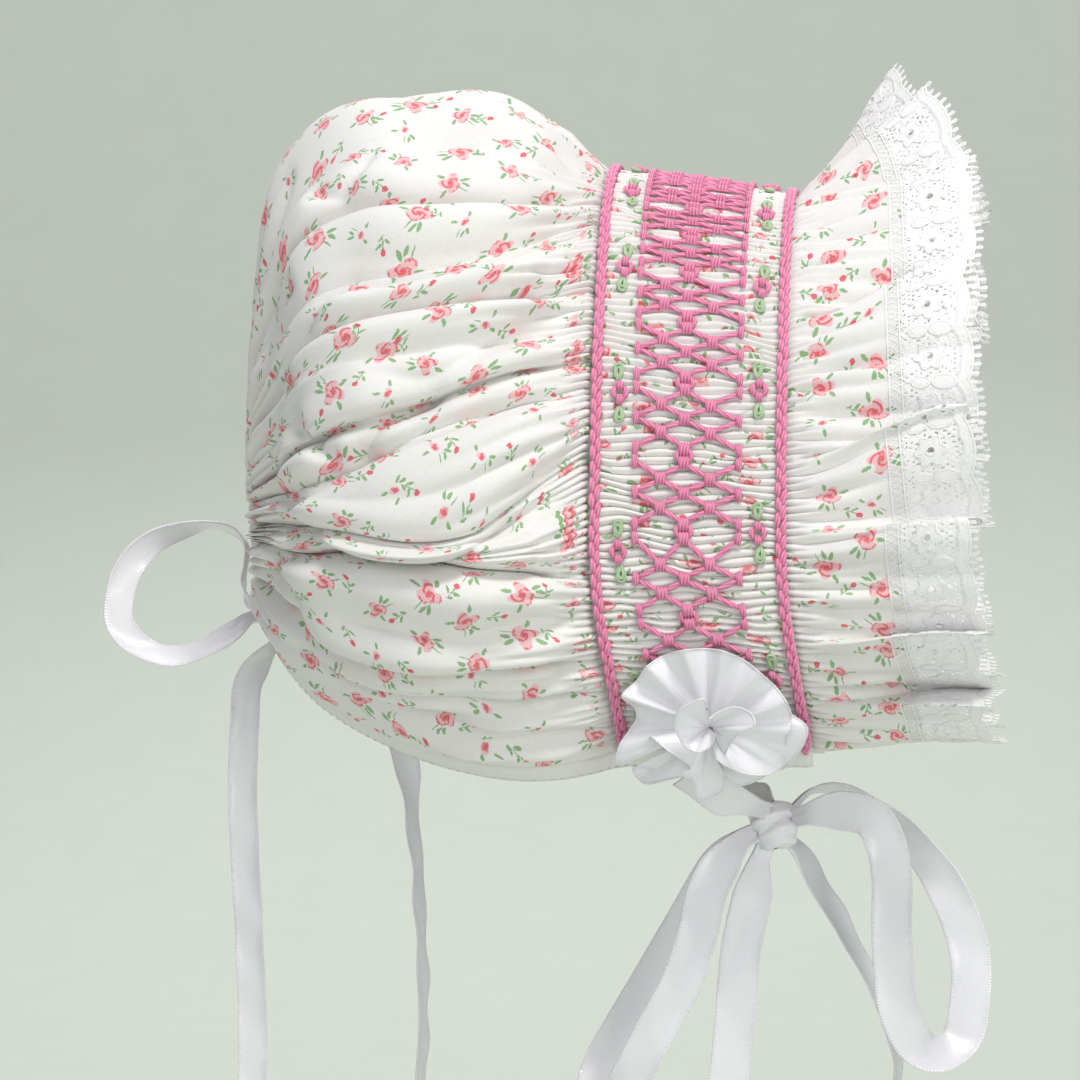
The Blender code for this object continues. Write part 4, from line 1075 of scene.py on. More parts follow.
def trellis_knot(length, back, quarter, row):
    """The stitches over and beside one knot of the trellis, and how far its threads reach from it."""
    half = 0.5 * KNOT_LENGTH * min(1.0, local_repeat(length) / FULL_REPEAT)
    double = quarter == 0
    spread = 1.15 * half if double else 0.0
    edge = row in (0, len(TRELLIS_COLUMNS) - 1)
    outward = -1.0 if row == 0 else 1.0
    knots = []
    for way in ((-1.0, 1.0) if double else (0.0,)):
        middle = length + way * spread
        if edge:
            knots.append(over_pleats(middle, 1.15 * half, back + 0.0006 * outward))
            knots.append(over_pleats(middle, 0.9 * half, back + 0.0001 * outward))
        else:
            knots += [over_pleats(middle, half, back + thread * KNOT_THREAD) for thread in (-1.0, 0.0, 1.0)]
    sides = []
    if double and not edge:
        for way in (-1.0, 1.0):
            sides.append(over_pleats(length, 1.1 * half, back + way * 1.15 * KNOT_THREAD, way * 0.0009))
    return knots, sides, (length, spread + (0.2 if edge else 0.45) * half, 0.1 if edge else 0.8)


def trellis_threads(places):
    """The slanting threads between neighbouring knots."""
    threads = []
    for (side, count, row), (length, reach, aside) in places.items():
        for beside in (row - 1, row + 1):
            follower = places.get((side, count + 1, beside))
            if follower is None:
                continue
            way = 1.0 if beside > row else -1.0
            from_back = TRELLIS_COLUMNS[row] + way * aside * KNOT_THREAD
            to_back = TRELLIS_COLUMNS[beside] - way * follower[2] * KNOT_THREAD
            threads.append((length + side * reach, from_back, follower[0] - side * follower[1], to_back, 0.0))
    return threads


def build_trellis(material):
    """The pink trellis: knots of three threads over two pleats, joined by slanting threads."""
    knots, sides, places = [], [], {}
    for length, back, quarter, row, count, side in trellis_nodes():
        over, beside, place = trellis_knot(length, back, quarter, row)
        knots += over
        sides += beside
        places[(side, count, row)] = place
    for row in range(len(TRELLIS_COLUMNS)):
        if (-1.0, 0, row) in places:
            places[(1.0, 0, row)] = places[(-1.0, 0, row)]
    bundle = Bundle()
    for rows, stitch in ((knots, KNOT_STITCH), (sides, SIDE_STITCH), (trellis_threads(places), SLANT_STITCH)):
        bundle.add(*stitches(rows, stitch), True)
    bundle.piece("trellis_stitches", material, "pink_floss")


def local_repeat(length):
    """The trellis's repeat where the band's cloth line has this length."""
    around = abs(float(around_of(length)))
    count = float(np.interp(around, TRELLIS_ROUND, TRELLIS_REPEATS))
    low, high = max(count - 0.5, 0.0), min(count + 0.5, TRELLIS_REPEATS[-1])
    rounds = np.interp([low, high], TRELLIS_REPEATS, TRELLIS_ROUND)
    return float(np.diff(length_of(rounds))[0]) / (high - low)


def flower_centres():
    """(length, distance from the band's back) of every flower, on both sides."""
    centres = []
    for rounds, back in ((BACK_FLOWERS, BACK_FLOWER_COLUMN), (FRONT_FLOWERS, FRONT_FLOWER_COLUMN)):
        for around in rounds:
            for side in (-1.0, 1.0):
                if around > 0.0 or side > 0.0:
                    centres.append((side * float(length_of(around)), back))
    return centres


def build_flowers(pink, green):
    """Small pink flowers of four stitches, with a green looped leaf above and below each."""
    petals, curls = [], []
    for length, back in flower_centres():
        for way in (-1.0, 1.0):
            for thread in (-0.5, 0.5):
                aside = back + thread * 0.00062
                petals.append((length + way * 0.0008, aside, length + way * 0.0025, aside, 0.0))
            curls.append(over_pleats(length, 0.0014, back + way * 0.0007, way * 0.0008))
    blossoms = Bundle()
    blossoms.add(*stitches(petals, PETAL_STITCH), True)
    blossoms.add(*stitches(curls, CURL_STITCH), True)
    blossoms.piece("flower_stitches", pink, "pink_floss")
    turn = np.linspace(0.0, 2.0 * np.pi, 19)
    paths, lifts = [], []
    for number, (length, back) in enumerate(flower_centres()):
        for way in (-1.0, 1.0):
            for size in (1.0, 0.62):
                lean = 0.0005 * math.sin(2.1 * number + way)
                down = length + way * (LEAF_AWAY - 0.0017 * size * np.cos(turn) + 0.0006 * (size - 1.0))
                aside = back + lean + 0.00112 * size * np.sin(turn) * (0.78 - 0.22 * np.cos(turn))
                lift = THREAD_LIFT * 0.5 + 0.0007 + 0.0004 * np.sin(turn / 2.0)
                path, out = band_lift(down, aside, lift)
                paths.append(path)
                lifts.append(out)
    leaves = Bundle()
    leaves.add(*tubes(np.array(paths), np.array(lifts), *LEAF_THREAD, 7, lobes=3), True)
    leaves.piece("leaf_stitches", green, "green_floss")


def ruffle_surface(around, run):
    """The ruffle's face at a place round its gathered edge and a run out from it, both grids."""
    start, flare, reach, lip = np.array(WAVES).T
    starts = np.concatenate([-start[:0:-1], start])
    flares = np.concatenate([flare[:0:-1], flare])
    reaches = np.concatenate([reach[:0:-1], reach])
    lips = np.concatenate([lip[-2::-1], lip[:-1]])
    i = np.clip(np.searchsorted(starts, around, side="right") - 1, 0, len(starts) - 2)
    step = starts[i + 1] - starts[i]
    share = (around - starts[i]) / step
    lower = np.where(starts[i] >= 0.0, share, 1.0 - share)
    top = np.minimum(np.abs(starts[i]), np.abs(starts[i + 1])) == 0.0
    edge_rise = np.where(top, 1.0, smooth(0.0, 0.09, lower) * np.minimum(1.0, 0.3 + lips[i] / 0.006))
    bulge = (1.0 - lower**1.6) * edge_rise - 0.45
    flare = np.radians(np.interp(around, starts, flares))
    reach = np.interp(around, starts, reaches)
    whole = RUFFLE_LENGTH + GAP + LACE_LENGTH
    far = run * reach * np.where(top, 1.0, 1.04 - 0.09 * (1.0 - lower) * edge_rise)
    part = run / whole
    down = np.where(starts[i] >= 0.0, 1.0, -1.0)
    peak = 0.0035 / (step * HALF_LINE)
    lip = -lips[i] * (lower / peak) * np.exp(1.0 - lower / peak) * smooth(0.0, 0.9, part)
    lip = lip + 0.0012 * ripple(around * 26.0, 44, 1.3) * part
    moved = np.clip(around + down * lip / 0.19, -1.0, 1.0)
    foot = band_surface(moved, np.ones_like(moved)) + np.array([0.0, -GAP, 0.0])
    out = unit(outward_of(foot))
    rise = far * np.sin(flare) * (0.75 + 0.25 * part)
    rise = rise + RUFFLE_WAVE * bulge * smooth(0.0, 0.9, part) * (1.0 + 0.4 * part)
    point = foot + out * rise[..., None]
    point[..., 1] -= far * np.cos(flare)
    return point, out


def gathered_ruffle(number, run):
    """The ruffle with its gathers, for pleat numbers and runs along two axes."""
    around = around_of(pleat_line(number))
    n = number[:, None]
    r = (run / (RUFFLE_LENGTH + LACE_LENGTH))[None, :]
    point, out = ruffle_surface(around[:, None] + 0.0 * r, run[None, :] + 0.0 * n)
    reach = 0.22 + 0.11 * ripple(n, 51, 5.0)
    fine = 0.5 * PLEAT_HEIGHT * ridge(n, 0.55) * (1.0 - smooth(0.0, reach, r))
    drift = n / 2.9 + 0.35 * ripple(n, 52, 11.0)
    middle = 0.0013 * ridge(drift, 0.75) * smooth(0.0, 0.12, r) * (1.0 - smooth(0.25, 0.70, r))
    broad = n / 7.0 + 0.3 * ripple(n, 54, 20.0)
    wide = 0.0012 * ridge(broad, 0.9) * smooth(0.05, 0.30, r) * (1.0 - 0.6 * smooth(0.5, 1.0, r))
    return point + out * (fine + middle + wide)[..., None], out


def build_ruffle(material):
    """The front frill of print cotton."""
    number = np.linspace(0.0, PLEATS, 5 * PLEATS + 1)
    run = np.linspace(0.0, RUFFLE_LENGTH, 30)
    grid, out = gathered_ruffle(number, run)
    grid[:, 0] += np.array([0.0, TUCK, 0.0]) - out[:, 0] * TUCK
    across = running(grid[:, 22])
    along = RUFFLE_PRINT + run[None, :]
    piece = add_grid("ruffle_cloth", grid, across[:, None], along, material)
    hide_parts("front_ruffle")


class LaceGround:
    """The lace's surface, read at lengths along its edge and distances out from the frill."""

    def __init__(self):
        number = np.linspace(0.0, PLEATS, 6 * PLEATS + 1)
        self.run = np.linspace(RUFFLE_LENGTH - LACE_OVERLAP, RUFFLE_LENGTH - LACE_OVERLAP + LACE_WIDTH, 22)
        self.grid, _ = gathered_ruffle(number, self.run)
        self.out = facing_out(self.grid)
        self.length = running(self.grid[:, LACE_MIDDLE])
        self.whole = float(self.length[-1])

    def at(self, along, out, lift=0.0):
        """Points and normals at grids of along (0 to whole) and out (0 to the lace's width)."""
        i = np.interp(along, self.length, np.arange(len(self.length)))
        j = np.interp(out + self.run[0], self.run, np.arange(len(self.run)))
        low_i = np.minimum(i.astype(int), len(self.length) - 2)
        low_j = np.minimum(j.astype(int), len(self.run) - 2)
        di = (i - low_i)[..., None]
        dj = (j - low_j)[..., None]

        def read(field):
            near = field[low_i, low_j] * (1.0 - di) + field[low_i + 1, low_j] * di
            far = field[low_i, low_j + 1] * (1.0 - di) + field[low_i + 1, low_j + 1] * di
            return near * (1.0 - dj) + far * dj

        normal = unit(read(self.out))
        return read(self.grid) + normal * np.asarray(lift, float)[..., None], normal


# Lace: a net heading, clothwork with small holes and cords, and a scalloped edge of picots.
LACE_REPEAT = 0.0126
NET_CELL = 0.00190
PICOT_PITCH = 0.0019
LACE_EDGE = 0.0196
CLOTHWORK_START = 0.0032
LACE_CELL = 0.00038
LACE_MIDDLE = 12
FLOWER_OUT = 0.0098
HOLE_PITCH = 1.26
LACE_LEAVES = ((0.0126, 0.0015, 0.0027), (0.0074, 0.0012, 0.0021))
RING_THREAD = (0.00019, 0.00022)
EYE_THREAD = (0.00022, 0.00026)
LEAF_CORD = (0.00016, 0.00022)


def flower_lean(number):
    """How far each flower of the lace is turned."""
    return 1.7 * np.sin(2.9 * np.floor(number) + 1.0)


def petal_outline(turn):
    """The radius of the lace's flowers, in millimetres."""
    return 3.0 + 0.60 * np.cos(6.0 * turn)


def lace_pattern(x, y, edge, lean):
    """(cloth, relief) of the clothwork, in millimetres from a flower's middle line and the heading.

    Cloth is below 0 in a hole; relief is the height of its raised parts.
    """
    y_flower = y - 1000.0 * FLOWER_OUT
    radius = np.hypot(x, y_flower)
    turn = np.arctan2(y_flower, x) + lean
    outline = petal_outline(turn)
    holes = x / HOLE_PITCH
    net = np.cos(2.0 * np.pi * (holes + y / 2.2)) + np.cos(2.0 * np.pi * (holes - y / 2.2))
    cloth = 0.72 - net
    petals = smooth(0.35, -0.15, radius - outline) * smooth(0.85, 1.25, radius)
    leaf_x = np.abs(np.abs(x) - 6.3)
    leaves = smooth(1.15, 0.85, np.hypot(leaf_x / 1.5, (y - 12.6) / 2.6))
    leaves = np.maximum(leaves, smooth(1.15, 0.85, np.hypot(leaf_x / 1.1, (y - 7.4) / 2.0)))
    border = smooth(2.6, 2.2, edge - y)
    solid = np.maximum(np.maximum(petals, leaves), border)
    cloth = cloth + 2.2 * solid
    ring = np.exp(-(((radius - outline - 0.55) / 0.34) ** 2)) * (1.0 - solid)
    cloth = cloth - 1.8 * ring * np.cos(16.0 * turn)
    cloth = np.where(radius < 0.62, -1.0, cloth)
    veins = np.exp(-((np.abs(turn * 6.0 / np.pi - 2.0 * np.round(turn * 3.0 / np.pi)) / 0.10) ** 2))
    cloth = cloth - 3.2 * veins * smooth(1.4, 1.7, radius) * smooth(2.9, 2.5, radius)
    eyelets = np.cos(2.0 * np.pi * x / HOLE_PITCH) * np.exp(-(((edge - y - 1.25) / 0.36) ** 2))
    cloth = cloth - 3.4 * np.maximum(eyelets, 0.0)
    relief = 0.16 * solid + 0.18 * np.exp(-(((radius - 1.0) / 0.28) ** 2)) + 0.08 * border
    return cloth, relief


def build_clothwork(ground, repeats, bundle):
    """The lace's dense cloth as one sheet, with its small holes left out."""
    columns = round(ground.whole / LACE_CELL)
    along = np.linspace(0.0, ground.whole, columns + 1)[:, None]
    share = np.linspace(0.0, 1.0, 41)[None, :]
    edge = scallop(ground, along, repeats) - 0.0003
    out = CLOTHWORK_START + (edge - CLOTHWORK_START) * share
    random = np.random.default_rng(95)
    along = np.clip(along + random.normal(0.0, 0.00007, out.shape), 0.0, ground.whole)
    out = out + random.normal(0.0, 0.00006, out.shape)
    step = ground.whole / repeats
    stray = 0.30 * ripple(1000.0 * along / 5.0 + 0.3 * share, 96, 1.3)
    x = 1000.0 * ((along / step) % 1.0 - 0.5) * step + stray
    y = 1000.0 * out + 0.25 * ripple(1000.0 * along / 4.0 - 0.5 * share, 98, 1.4)
    cloth, relief = lace_pattern(x, y, 1000.0 * edge, flower_lean(along / step))
    knobs = 0.09 * ripple(x / 0.9 + 7.0 * y, 99, 1.2) * ripple(y / 0.8 - 3.0 * x, 94, 1.1)
    lift = MM * (relief + knobs + 0.10 * np.clip(cloth, -1.0, 1.0)) - 0.0001
    points, _ = ground.at(along, out, lift)
    rows, across = points.shape[:2]
    faces = grid_faces(rows, across)
    kept = faces[np.mean(cloth.reshape(-1)[faces], axis=1) > 0.0]
    used, index = np.unique(kept, return_inverse=True)
    bundle.vertices.append(points.reshape(-1, 3)[used])
    bundle.faces.append(index.reshape(-1, 4) + bundle.count)
    bundle.flat.append(stacked(along, out).reshape(-1, 2)[used])
    bundle.count += len(used)


def build_cords(ground, repeats, bundle):
    """Raised threads round the flowers and leaves and along the border."""
    step = ground.whole / repeats
    centre = (np.arange(repeats) + 0.5)[:, None] * step
    turn = np.linspace(0.0, 2.0 * np.pi, 49)[None, :]
    radius = MM * (petal_outline(turn + flower_lean(np.arange(repeats)[:, None])) + 0.05)
    height = FLOWER_OUT + radius * np.sin(turn)
    add_strands(bundle, ground, centre + radius * np.cos(turn), height, *RING_THREAD)
    small = 0.00105 + 0.0 * turn
    height = FLOWER_OUT + small * np.sin(turn) + 0.0 * centre
    add_strands(bundle, ground, centre + small * np.cos(turn), height, *EYE_THREAD)
    between = np.arange(1, repeats)[:, None] * step
    turn = turn[:, ::2]
    for out, half_width, half_length in LACE_LEAVES:
        along = between + half_width * np.cos(turn)
        add_strands(bundle, ground, along, out + half_length * np.sin(turn) + 0.0 * along, *LEAF_CORD)


def add_strands(bundle, ground, along, out, width, lift=0.0):
    """Thin threads on the lace's face; along and out are (threads, points)."""
    paths, normal = ground.at(along, out, lift + 0.0 * along)
    across = unit(np.cross(unit(np.gradient(paths, axis=1)), normal))
    sides = np.array([-1.0, 0.0, 1.0])[:, None]
    rise = np.array([0.0, 0.55, 0.0])[:, None]
    grids = paths[:, :, None, :] + width * (across[:, :, None, :] * sides + normal[:, :, None, :] * rise)
    flat = stacked(along[:, :, None], out[:, :, None] + width * sides[:, 0])
    bundle.add(grids, flat, False)


def scallop(ground, along, repeats):
    """The edge's distance out: one round scallop to each repeat."""
    number = along * repeats / ground.whole
    return LACE_EDGE - 0.0016 * (1.0 - np.abs(np.sin(np.pi * number)) ** 0.7)


def build_lace_net(ground, repeats, material):
    """The open net and the edge threads of the lace."""
    bundle = Bundle()
    count = round(ground.whole / NET_CELL)
    base = (np.arange(count) + 0.5)[:, None] * ground.whole / count
    out = np.linspace(0.0003, CLOTHWORK_START + 0.0012, 7)[None, :]
    bend = 0.00020 * np.sin(2.0 * np.pi * out / NET_CELL)
    for way in (-1.0, 1.0):
        along = np.clip(base + way * (0.66 * out + bend), 0.0, ground.whole)
        add_strands(bundle, ground, along, out + 0.0 * along, 0.00014, 0.00012)
    line = np.linspace(0.0, ground.whole, 6 * PLEATS)[None, :]
    for height in (0.0003, CLOTHWORK_START):
        add_strands(bundle, ground, line, height + 0.0 * line, 0.00020, 0.00018)
    add_strands(bundle, ground, line, scallop(ground, line, repeats), 0.00028, 0.0001)
    picots = round(ground.whole / PICOT_PITCH)
    centre = (np.arange(picots) + 0.5)[:, None] * ground.whole / picots
    share = np.linspace(0.0, 1.0, 7)[None, :]
    along = centre + 0.00026 * np.sin(np.pi * (2.0 * share - 1.0))
    out = scallop(ground, centre, repeats) + 0.0019 * np.sin(np.pi * share)
    add_strands(bundle, ground, np.clip(along, 0.0, ground.whole), out, 0.00022)
    return bundle.piece("lace_net", material, "lace")


def build_lace(material):
    """The lace edging: clothwork with raised cords, on a net of real threads."""
    ground = LaceGround()
    repeats = round(ground.whole / LACE_REPEAT)
    net = build_lace_net(ground, repeats, material)
    bundle = Bundle()
    build_clothwork(ground, repeats, bundle)
    build_cords(ground, repeats, bundle)
    piece = bundle.piece("lace_cloth", material, "lace")
    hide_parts("lace_edging")


def build_casing(material):
    """The gathered channel round the open hole at the back."""
    angle = np.linspace(0.0, 2.0 * np.pi, 8 * CASING_GATHERS, endpoint=False)[:, None]
    section = np.linspace(0.2, 2.0 * np.pi - 0.2, 26)[None, :]
    number = angle / (2.0 * np.pi) * CASING_GATHERS + 0.25 * ripple(angle * 3.0, 61, 1.1)
    gather = 0.00050 * ridge(number, 0.7) + 0.00025 * ripple(angle * 5.0, 62, 1.0)
    middle = RING_RADIUS - GAP - CASING_WIDTH / 2.0 - 0.0005
    radius = middle + (CASING_WIDTH / 2.0 + gather) * np.cos(section)
    back = (CASING_LENGTH / 2.0 + gather) * np.sin(section)
    x = radius * np.sin(angle)
    y = BAND_BACK + CROWN_LENGTH * float(column(SECTIONS, "back", 1.0)) - CROWN_WALL / 2.0 + back
    z = -RING_DROP + radius * np.cos(angle)
    grid = stacked(x, y, z)
    across = angle / (2.0 * np.pi) * CASING_PRINT[0]
    along = section / (2.0 * np.pi) * CASING_PRINT[1]
    piece = add_grid("casing_cloth", grid, across, along, material, True)
    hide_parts("back_casing")


def neck_edge(side, places):
    """The neck edge of band and crown, and the way on round the section from it."""
    around = np.array([side, side * 0.995])[:, None]
    band = band_surface(around, np.clip(-places, 0.0, 1.0)[None, :])
    crown = crown_envelope(around, np.clip(places, 0.0, 1.0)[None, :])
    edge = np.where((places < 0.0)[None, :, None], band, crown)
    return edge[0], unit(edge[0] - edge[1])


def build_binding(name, side, material):
    """A folded strip of plain cotton along the neck edge, with a row of small stitches."""
    places = np.concatenate([np.linspace(-1.0, -0.02, 60), np.linspace(0.02, 0.82, 90)])
    edge, onward = neck_edge(side, places)
    wide = BINDING_WIDTH * (1.0 - 0.6 * smooth(0.45, 0.85, places)) - GAP
    centre = edge + onward * (2.0 * GAP + wide / 2.0)[:, None]
    out = facing_out(np.stack([edge, edge + onward * wide[:, None]], axis=1))[:, 0]
    centre = centre - out * (BINDING_WALL / 2.0)
    turn = np.linspace(-np.pi + 0.25, np.pi - 0.25, 21)
    flat_round = np.sign(np.cos(turn)) * np.abs(np.cos(turn)) ** 0.5
    pucker = 1.0 + 0.10 * ripple(np.arange(len(places)) / 3.0, 71, 2.0)
    pucker = pucker * (0.06 + 0.94 * smooth(-1.0, -0.97, places) * (1.0 - smooth(0.80, 0.82, places)))
    grid = (
        centre[:, None, :]
        + onward[:, None, :] * (wide[:, None] / 2.0 * flat_round[None, :])[..., None]
        + out[:, None, :] * (BINDING_WALL / 2.0 * np.sin(turn)[None, :] * pucker[:, None])[..., None]
    )
    line = running(centre)
    across = (turn / (2.0 * np.pi) * 2.0 * BINDING_WIDTH)[None, :]
    piece = add_grid(name, grid, line[:, None], across, material)
    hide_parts(name.replace("_cloth", ""))
    bundle = Bundle()
    seam = centre + onward * (wide * 0.30)[:, None] + out * (BINDING_WALL / 2.0 + 0.0001)
    length = np.arange(0.001, float(line[-1]) - 0.002, SEAM_PITCH)
    spots = length[:, None] + np.linspace(0.0, SEAM_STITCH, 4)[None, :]
    paths = np.stack([np.interp(spots, line, seam[:, k]) for k in range(3)], axis=-1)
    lifts = np.stack([np.interp(spots, line, out[:, k]) for k in range(3)], axis=-1)
    bundle.add(*tubes(paths, lifts, *SEAM_THREAD, 5, taper=0.6), True)
    thread = bundle.piece(name.replace("_cloth", "_seam"), material, "plain_cotton")


def ribbon_mesh(node, points, across, width, material, samples=130, held=(1.0, 0.0)):
    """A thin satin ribbon along a smooth curve; held says how far a knot pinches its two ends."""
    points = np.asarray(points, float)
    lengths = running(points)
    places = np.linspace(0.0, lengths[-1], samples)
    path = curve(lengths, points, places)
    side = curve(lengths, across, places)
    tangent = unit(np.gradient(path, axis=0))
    side = unit(side - tangent * np.sum(side * tangent, axis=1, keepdims=True))
    face = np.cross(tangent, side)
    share = np.array(RIBBON_SHARES)
    thick = np.array(RIBBON_THICKNESS) * MM
    bow = 0.0011 * (0.4 + 0.6 * ripple(places / 0.016, 81 + samples, 1.1))[:, None]
    bow = bow * (share[None, :] ** 2 - 0.4)
    twist = 0.00045 * ripple(places / 0.011, 85 + samples, 1.2)[:, None] * share[None, :]
    pinch = held[0] * smooth(*PINCH_REACH, places) + held[1] * smooth(*PINCH_REACH, places[-1] - places)
    crumple = 0.0007 * pinch[:, None] * np.cos(2.6 * np.pi * share)[None, :]
    curl = (bow + twist) * (1.0 - 0.7 * pinch[:, None]) + crumple
    wide = width / 2.0 * (1.0 - 0.52 * pinch)
    middle = path[:, None, :] + side[:, None, :] * (wide[:, None] * share)[..., None]
    middle = middle + face[:, None, :] * curl[..., None]
    upper = middle + face[:, None, :] * thick[None, :, None]
    lower = middle - face[:, None, :] * thick[None, :, None]
    grid = np.concatenate([upper, lower[:, ::-1]], axis=1)
    across_flat = np.concatenate([1.0 - np.abs(share), 1.0 - np.abs(share[::-1])]) * width / 2.0
    along, flat = places[:, None], across_flat[None, :]
    piece = add_grid(node + "_ribbon", grid, along, flat, material, False, True)
    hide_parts(node)


def turned(points, turns):
    """The way of a ribbon's width at each point, for turns from the X axis, in degrees."""
    tangent = unit(np.gradient(np.asarray(points, float), axis=0))
    level = unit(np.array([1.0, 0.0, 0.0]) - tangent * tangent[:, :1])
    upright = np.cross(tangent, level)
    angle = np.radians(np.asarray(turns, float))[:, None]
    return np.cos(angle) * level + np.sin(angle) * upright


def knot_face(radii, way):
    """The offset from a knot's middle to just inside its face, along way."""
    way = way / np.linalg.norm(way)
    return way * (1.0 / np.linalg.norm(way / np.array(radii)) - GAP)


def build_bow(node, knot, radii, bends, size, width, material):
    """A loop or a tail of a bow, from its knot."""
    offsets = [np.array([bend.aside, -bend.forward, -bend.down]) * size for bend in bends]
    turns = [bend.turn for bend in bends]
    offsets.insert(0, knot_face(radii, offsets[0]))
    turns.insert(0, turns[0])
    if "loop" in node:
        offsets.append(knot_face(radii, offsets[-1]))
        turns.append(turns[-1])
    points = np.array(knot) + np.array(offsets)
    held = (1.0, 1.0 if "loop" in node else 0.0)
    ribbon_mesh(node, points, turned(points, turns), width, material, held=held)


def build_knot(node, centre, radii, material):
    """A knot wrapped by its own ribbon: an egg with wrap folds."""
    turn = np.linspace(0.0, 2.0 * np.pi, 72, endpoint=False)[:, None]
    tilt = np.linspace(-0.5 * np.pi + 0.03, 0.5 * np.pi - 0.03, 48)[None, :]
    wrap = np.abs(np.sin(1.55 * tilt + 0.95 * np.sin(turn + 0.7) + 0.35 * np.sin(3.0 * turn) + 0.4)) ** 0.6
    creases = 0.05 * np.sin(9.0 * tilt + 5.0 * np.sin(turn + 0.7)) * np.cos(tilt)
    size = 0.80 + 0.24 * wrap + creases
    girth = np.cos(tilt) ** 0.6
    spot = stacked(np.cos(turn) * girth, np.sin(turn) * girth, np.sin(tilt))
    grid = np.array(centre) + spot * np.array(radii) * size[..., None]
    across, along = turn / (2.0 * np.pi) * 0.03, (tilt + 2.4) * 0.004
    piece = add_grid(node + "_wrap", grid, across, along, material, True)
    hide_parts(node)


def tie_root(side):
    edge, onward = neck_edge(side, np.array([-TIE_PLACE]))
    return edge[0] + onward[0] * (BINDING_WIDTH + GAP) + np.array([0.0, 0.0, -0.001 - 2.0 * GAP])


def chin_knot():
    root = tie_root(-1.0)
    return np.array([-CHIN_KNOT_ASIDE, -CHIN_KNOT_FORWARD, root[2] - CHIN_KNOT_BELOW_HEM])


def back_knot():
    back = BAND_BACK + CROWN_LENGTH * float(column(SECTIONS, "back", 1.0))
    return np.array([0.0, back - 0.001, -RING_DROP - RING_RADIUS - BACK_KNOT[2] - GAP])


def build_chin_tie(node, side, material):
    """The ribbon under the chin, from the band's end to the knot."""
    root = tie_root(side)
    knot = chin_knot()
    end = knot + np.array([side * (CHIN_KNOT[0] - GAP), *TIE_ON_KNOT])
    middle = 0.5 * (root + end) + np.array([0.0, 0.0, -TIE_SAG])
    points = [root, 0.5 * (root + middle), middle, 0.5 * (middle + end), end]
    tilt = np.radians([0.0, 14.0, 26.0, 34.0, 37.0])
    across = np.stack([0.0 * tilt, -np.cos(tilt), np.sin(tilt)], axis=1)
    ribbon_mesh(node, points, across, CHIN_RIBBON, material, 60, (0.0, 1.0))


def lying_points(lies):
    """Points off the crown's far face, and the way of the ribbon's width at each."""
    points = []
    across = []
    step = 0.01
    for lie in lies:
        around, place = np.array(lie.around), np.array(lie.place)
        here = crown_envelope(around, place)
        onward = unit(crown_envelope(around + step, place) - here)
        rearward = unit(crown_envelope(around, place + step) - here)
        out = unit(np.cross(rearward, onward))
        out = out if float(np.dot(out, here - np.array([0.0, 0.0, -EAR_DROP]))) > 0.0 else -out
        points.append(here + out * lie.off * CLOTH_LIFT)
        angle = math.radians(lie.turn)
        across.append(math.cos(angle) * onward + math.sin(angle) * rearward)
    return points, across


def build_far_ribbons(material):
    """The nape bow's far loop, and its far tail down the side of the neck."""
    points, across = lying_points(FAR_LOOP)
    ribbon_mesh("back_loop_right", points, across, BACK_RIBBON, material, 120, (1.0, 1.0))
    points, across = lying_points(FAR_TAIL)
    start = points[-1]
    hung = [start + np.array([0.0, -hang.forward, -hang.down]) * BACK_LOOP for hang in FAR_TAIL_HANG]
    hung_across = turned([start] + hung, [0.0] + [hang.turn for hang in FAR_TAIL_HANG])[1:]
    ribbon_mesh("back_tail_left", points + hung, across + list(hung_across), BACK_RIBBON, material)


def build_ribbons(material):
    """Both bows and the ribbon under the chin."""
    chin = chin_knot()
    build_chin_tie("chin_tie_right", -1.0, material)
    build_chin_tie("chin_tie_left", 1.0, material)
    build_knot("chin_knot", chin, CHIN_KNOT, material)
    for node, bends in (
        ("chin_loop_front", CHIN_LOOP_FRONT), ("chin_loop_back", CHIN_LOOP_BACK),
        ("chin_tail_back", CHIN_TAIL_BACK), ("chin_tail_front", CHIN_TAIL_FRONT),
    ):
        build_bow(node, chin, CHIN_KNOT, bends, CHIN_LOOP, CHIN_RIBBON, material)
    nape = back_knot()
    build_knot("back_knot", nape, BACK_KNOT, material)
    for node, bends in (("back_loop_left", BACK_LOOP_LEFT), ("back_tail_right", BACK_TAIL_RIGHT)):
        build_bow(node, nape, BACK_KNOT, bends, BACK_LOOP, BACK_RIBBON, material)
    build_far_ribbons(material)


def rosette_frame(side):
    """Centre, outward normal and in-plane axes of a rosette on the band's lower end."""
    step = 0.01
    place = np.array(ROSETTE_PLACE)
    around = np.array(side * ROSETTE_AROUND)
    centre = band_surface(around, place)
    upward = band_surface(around - side * step, place) - centre
    upward = unit(upward * (1.0, 0.0, 1.0))
    forward = np.array([0.0, -1.0, 0.0])
    out = np.cross(upward, forward)
    out = out * (1.0 if out[0] * side > 0.0 else -1.0)
    return centre, out, upward, forward


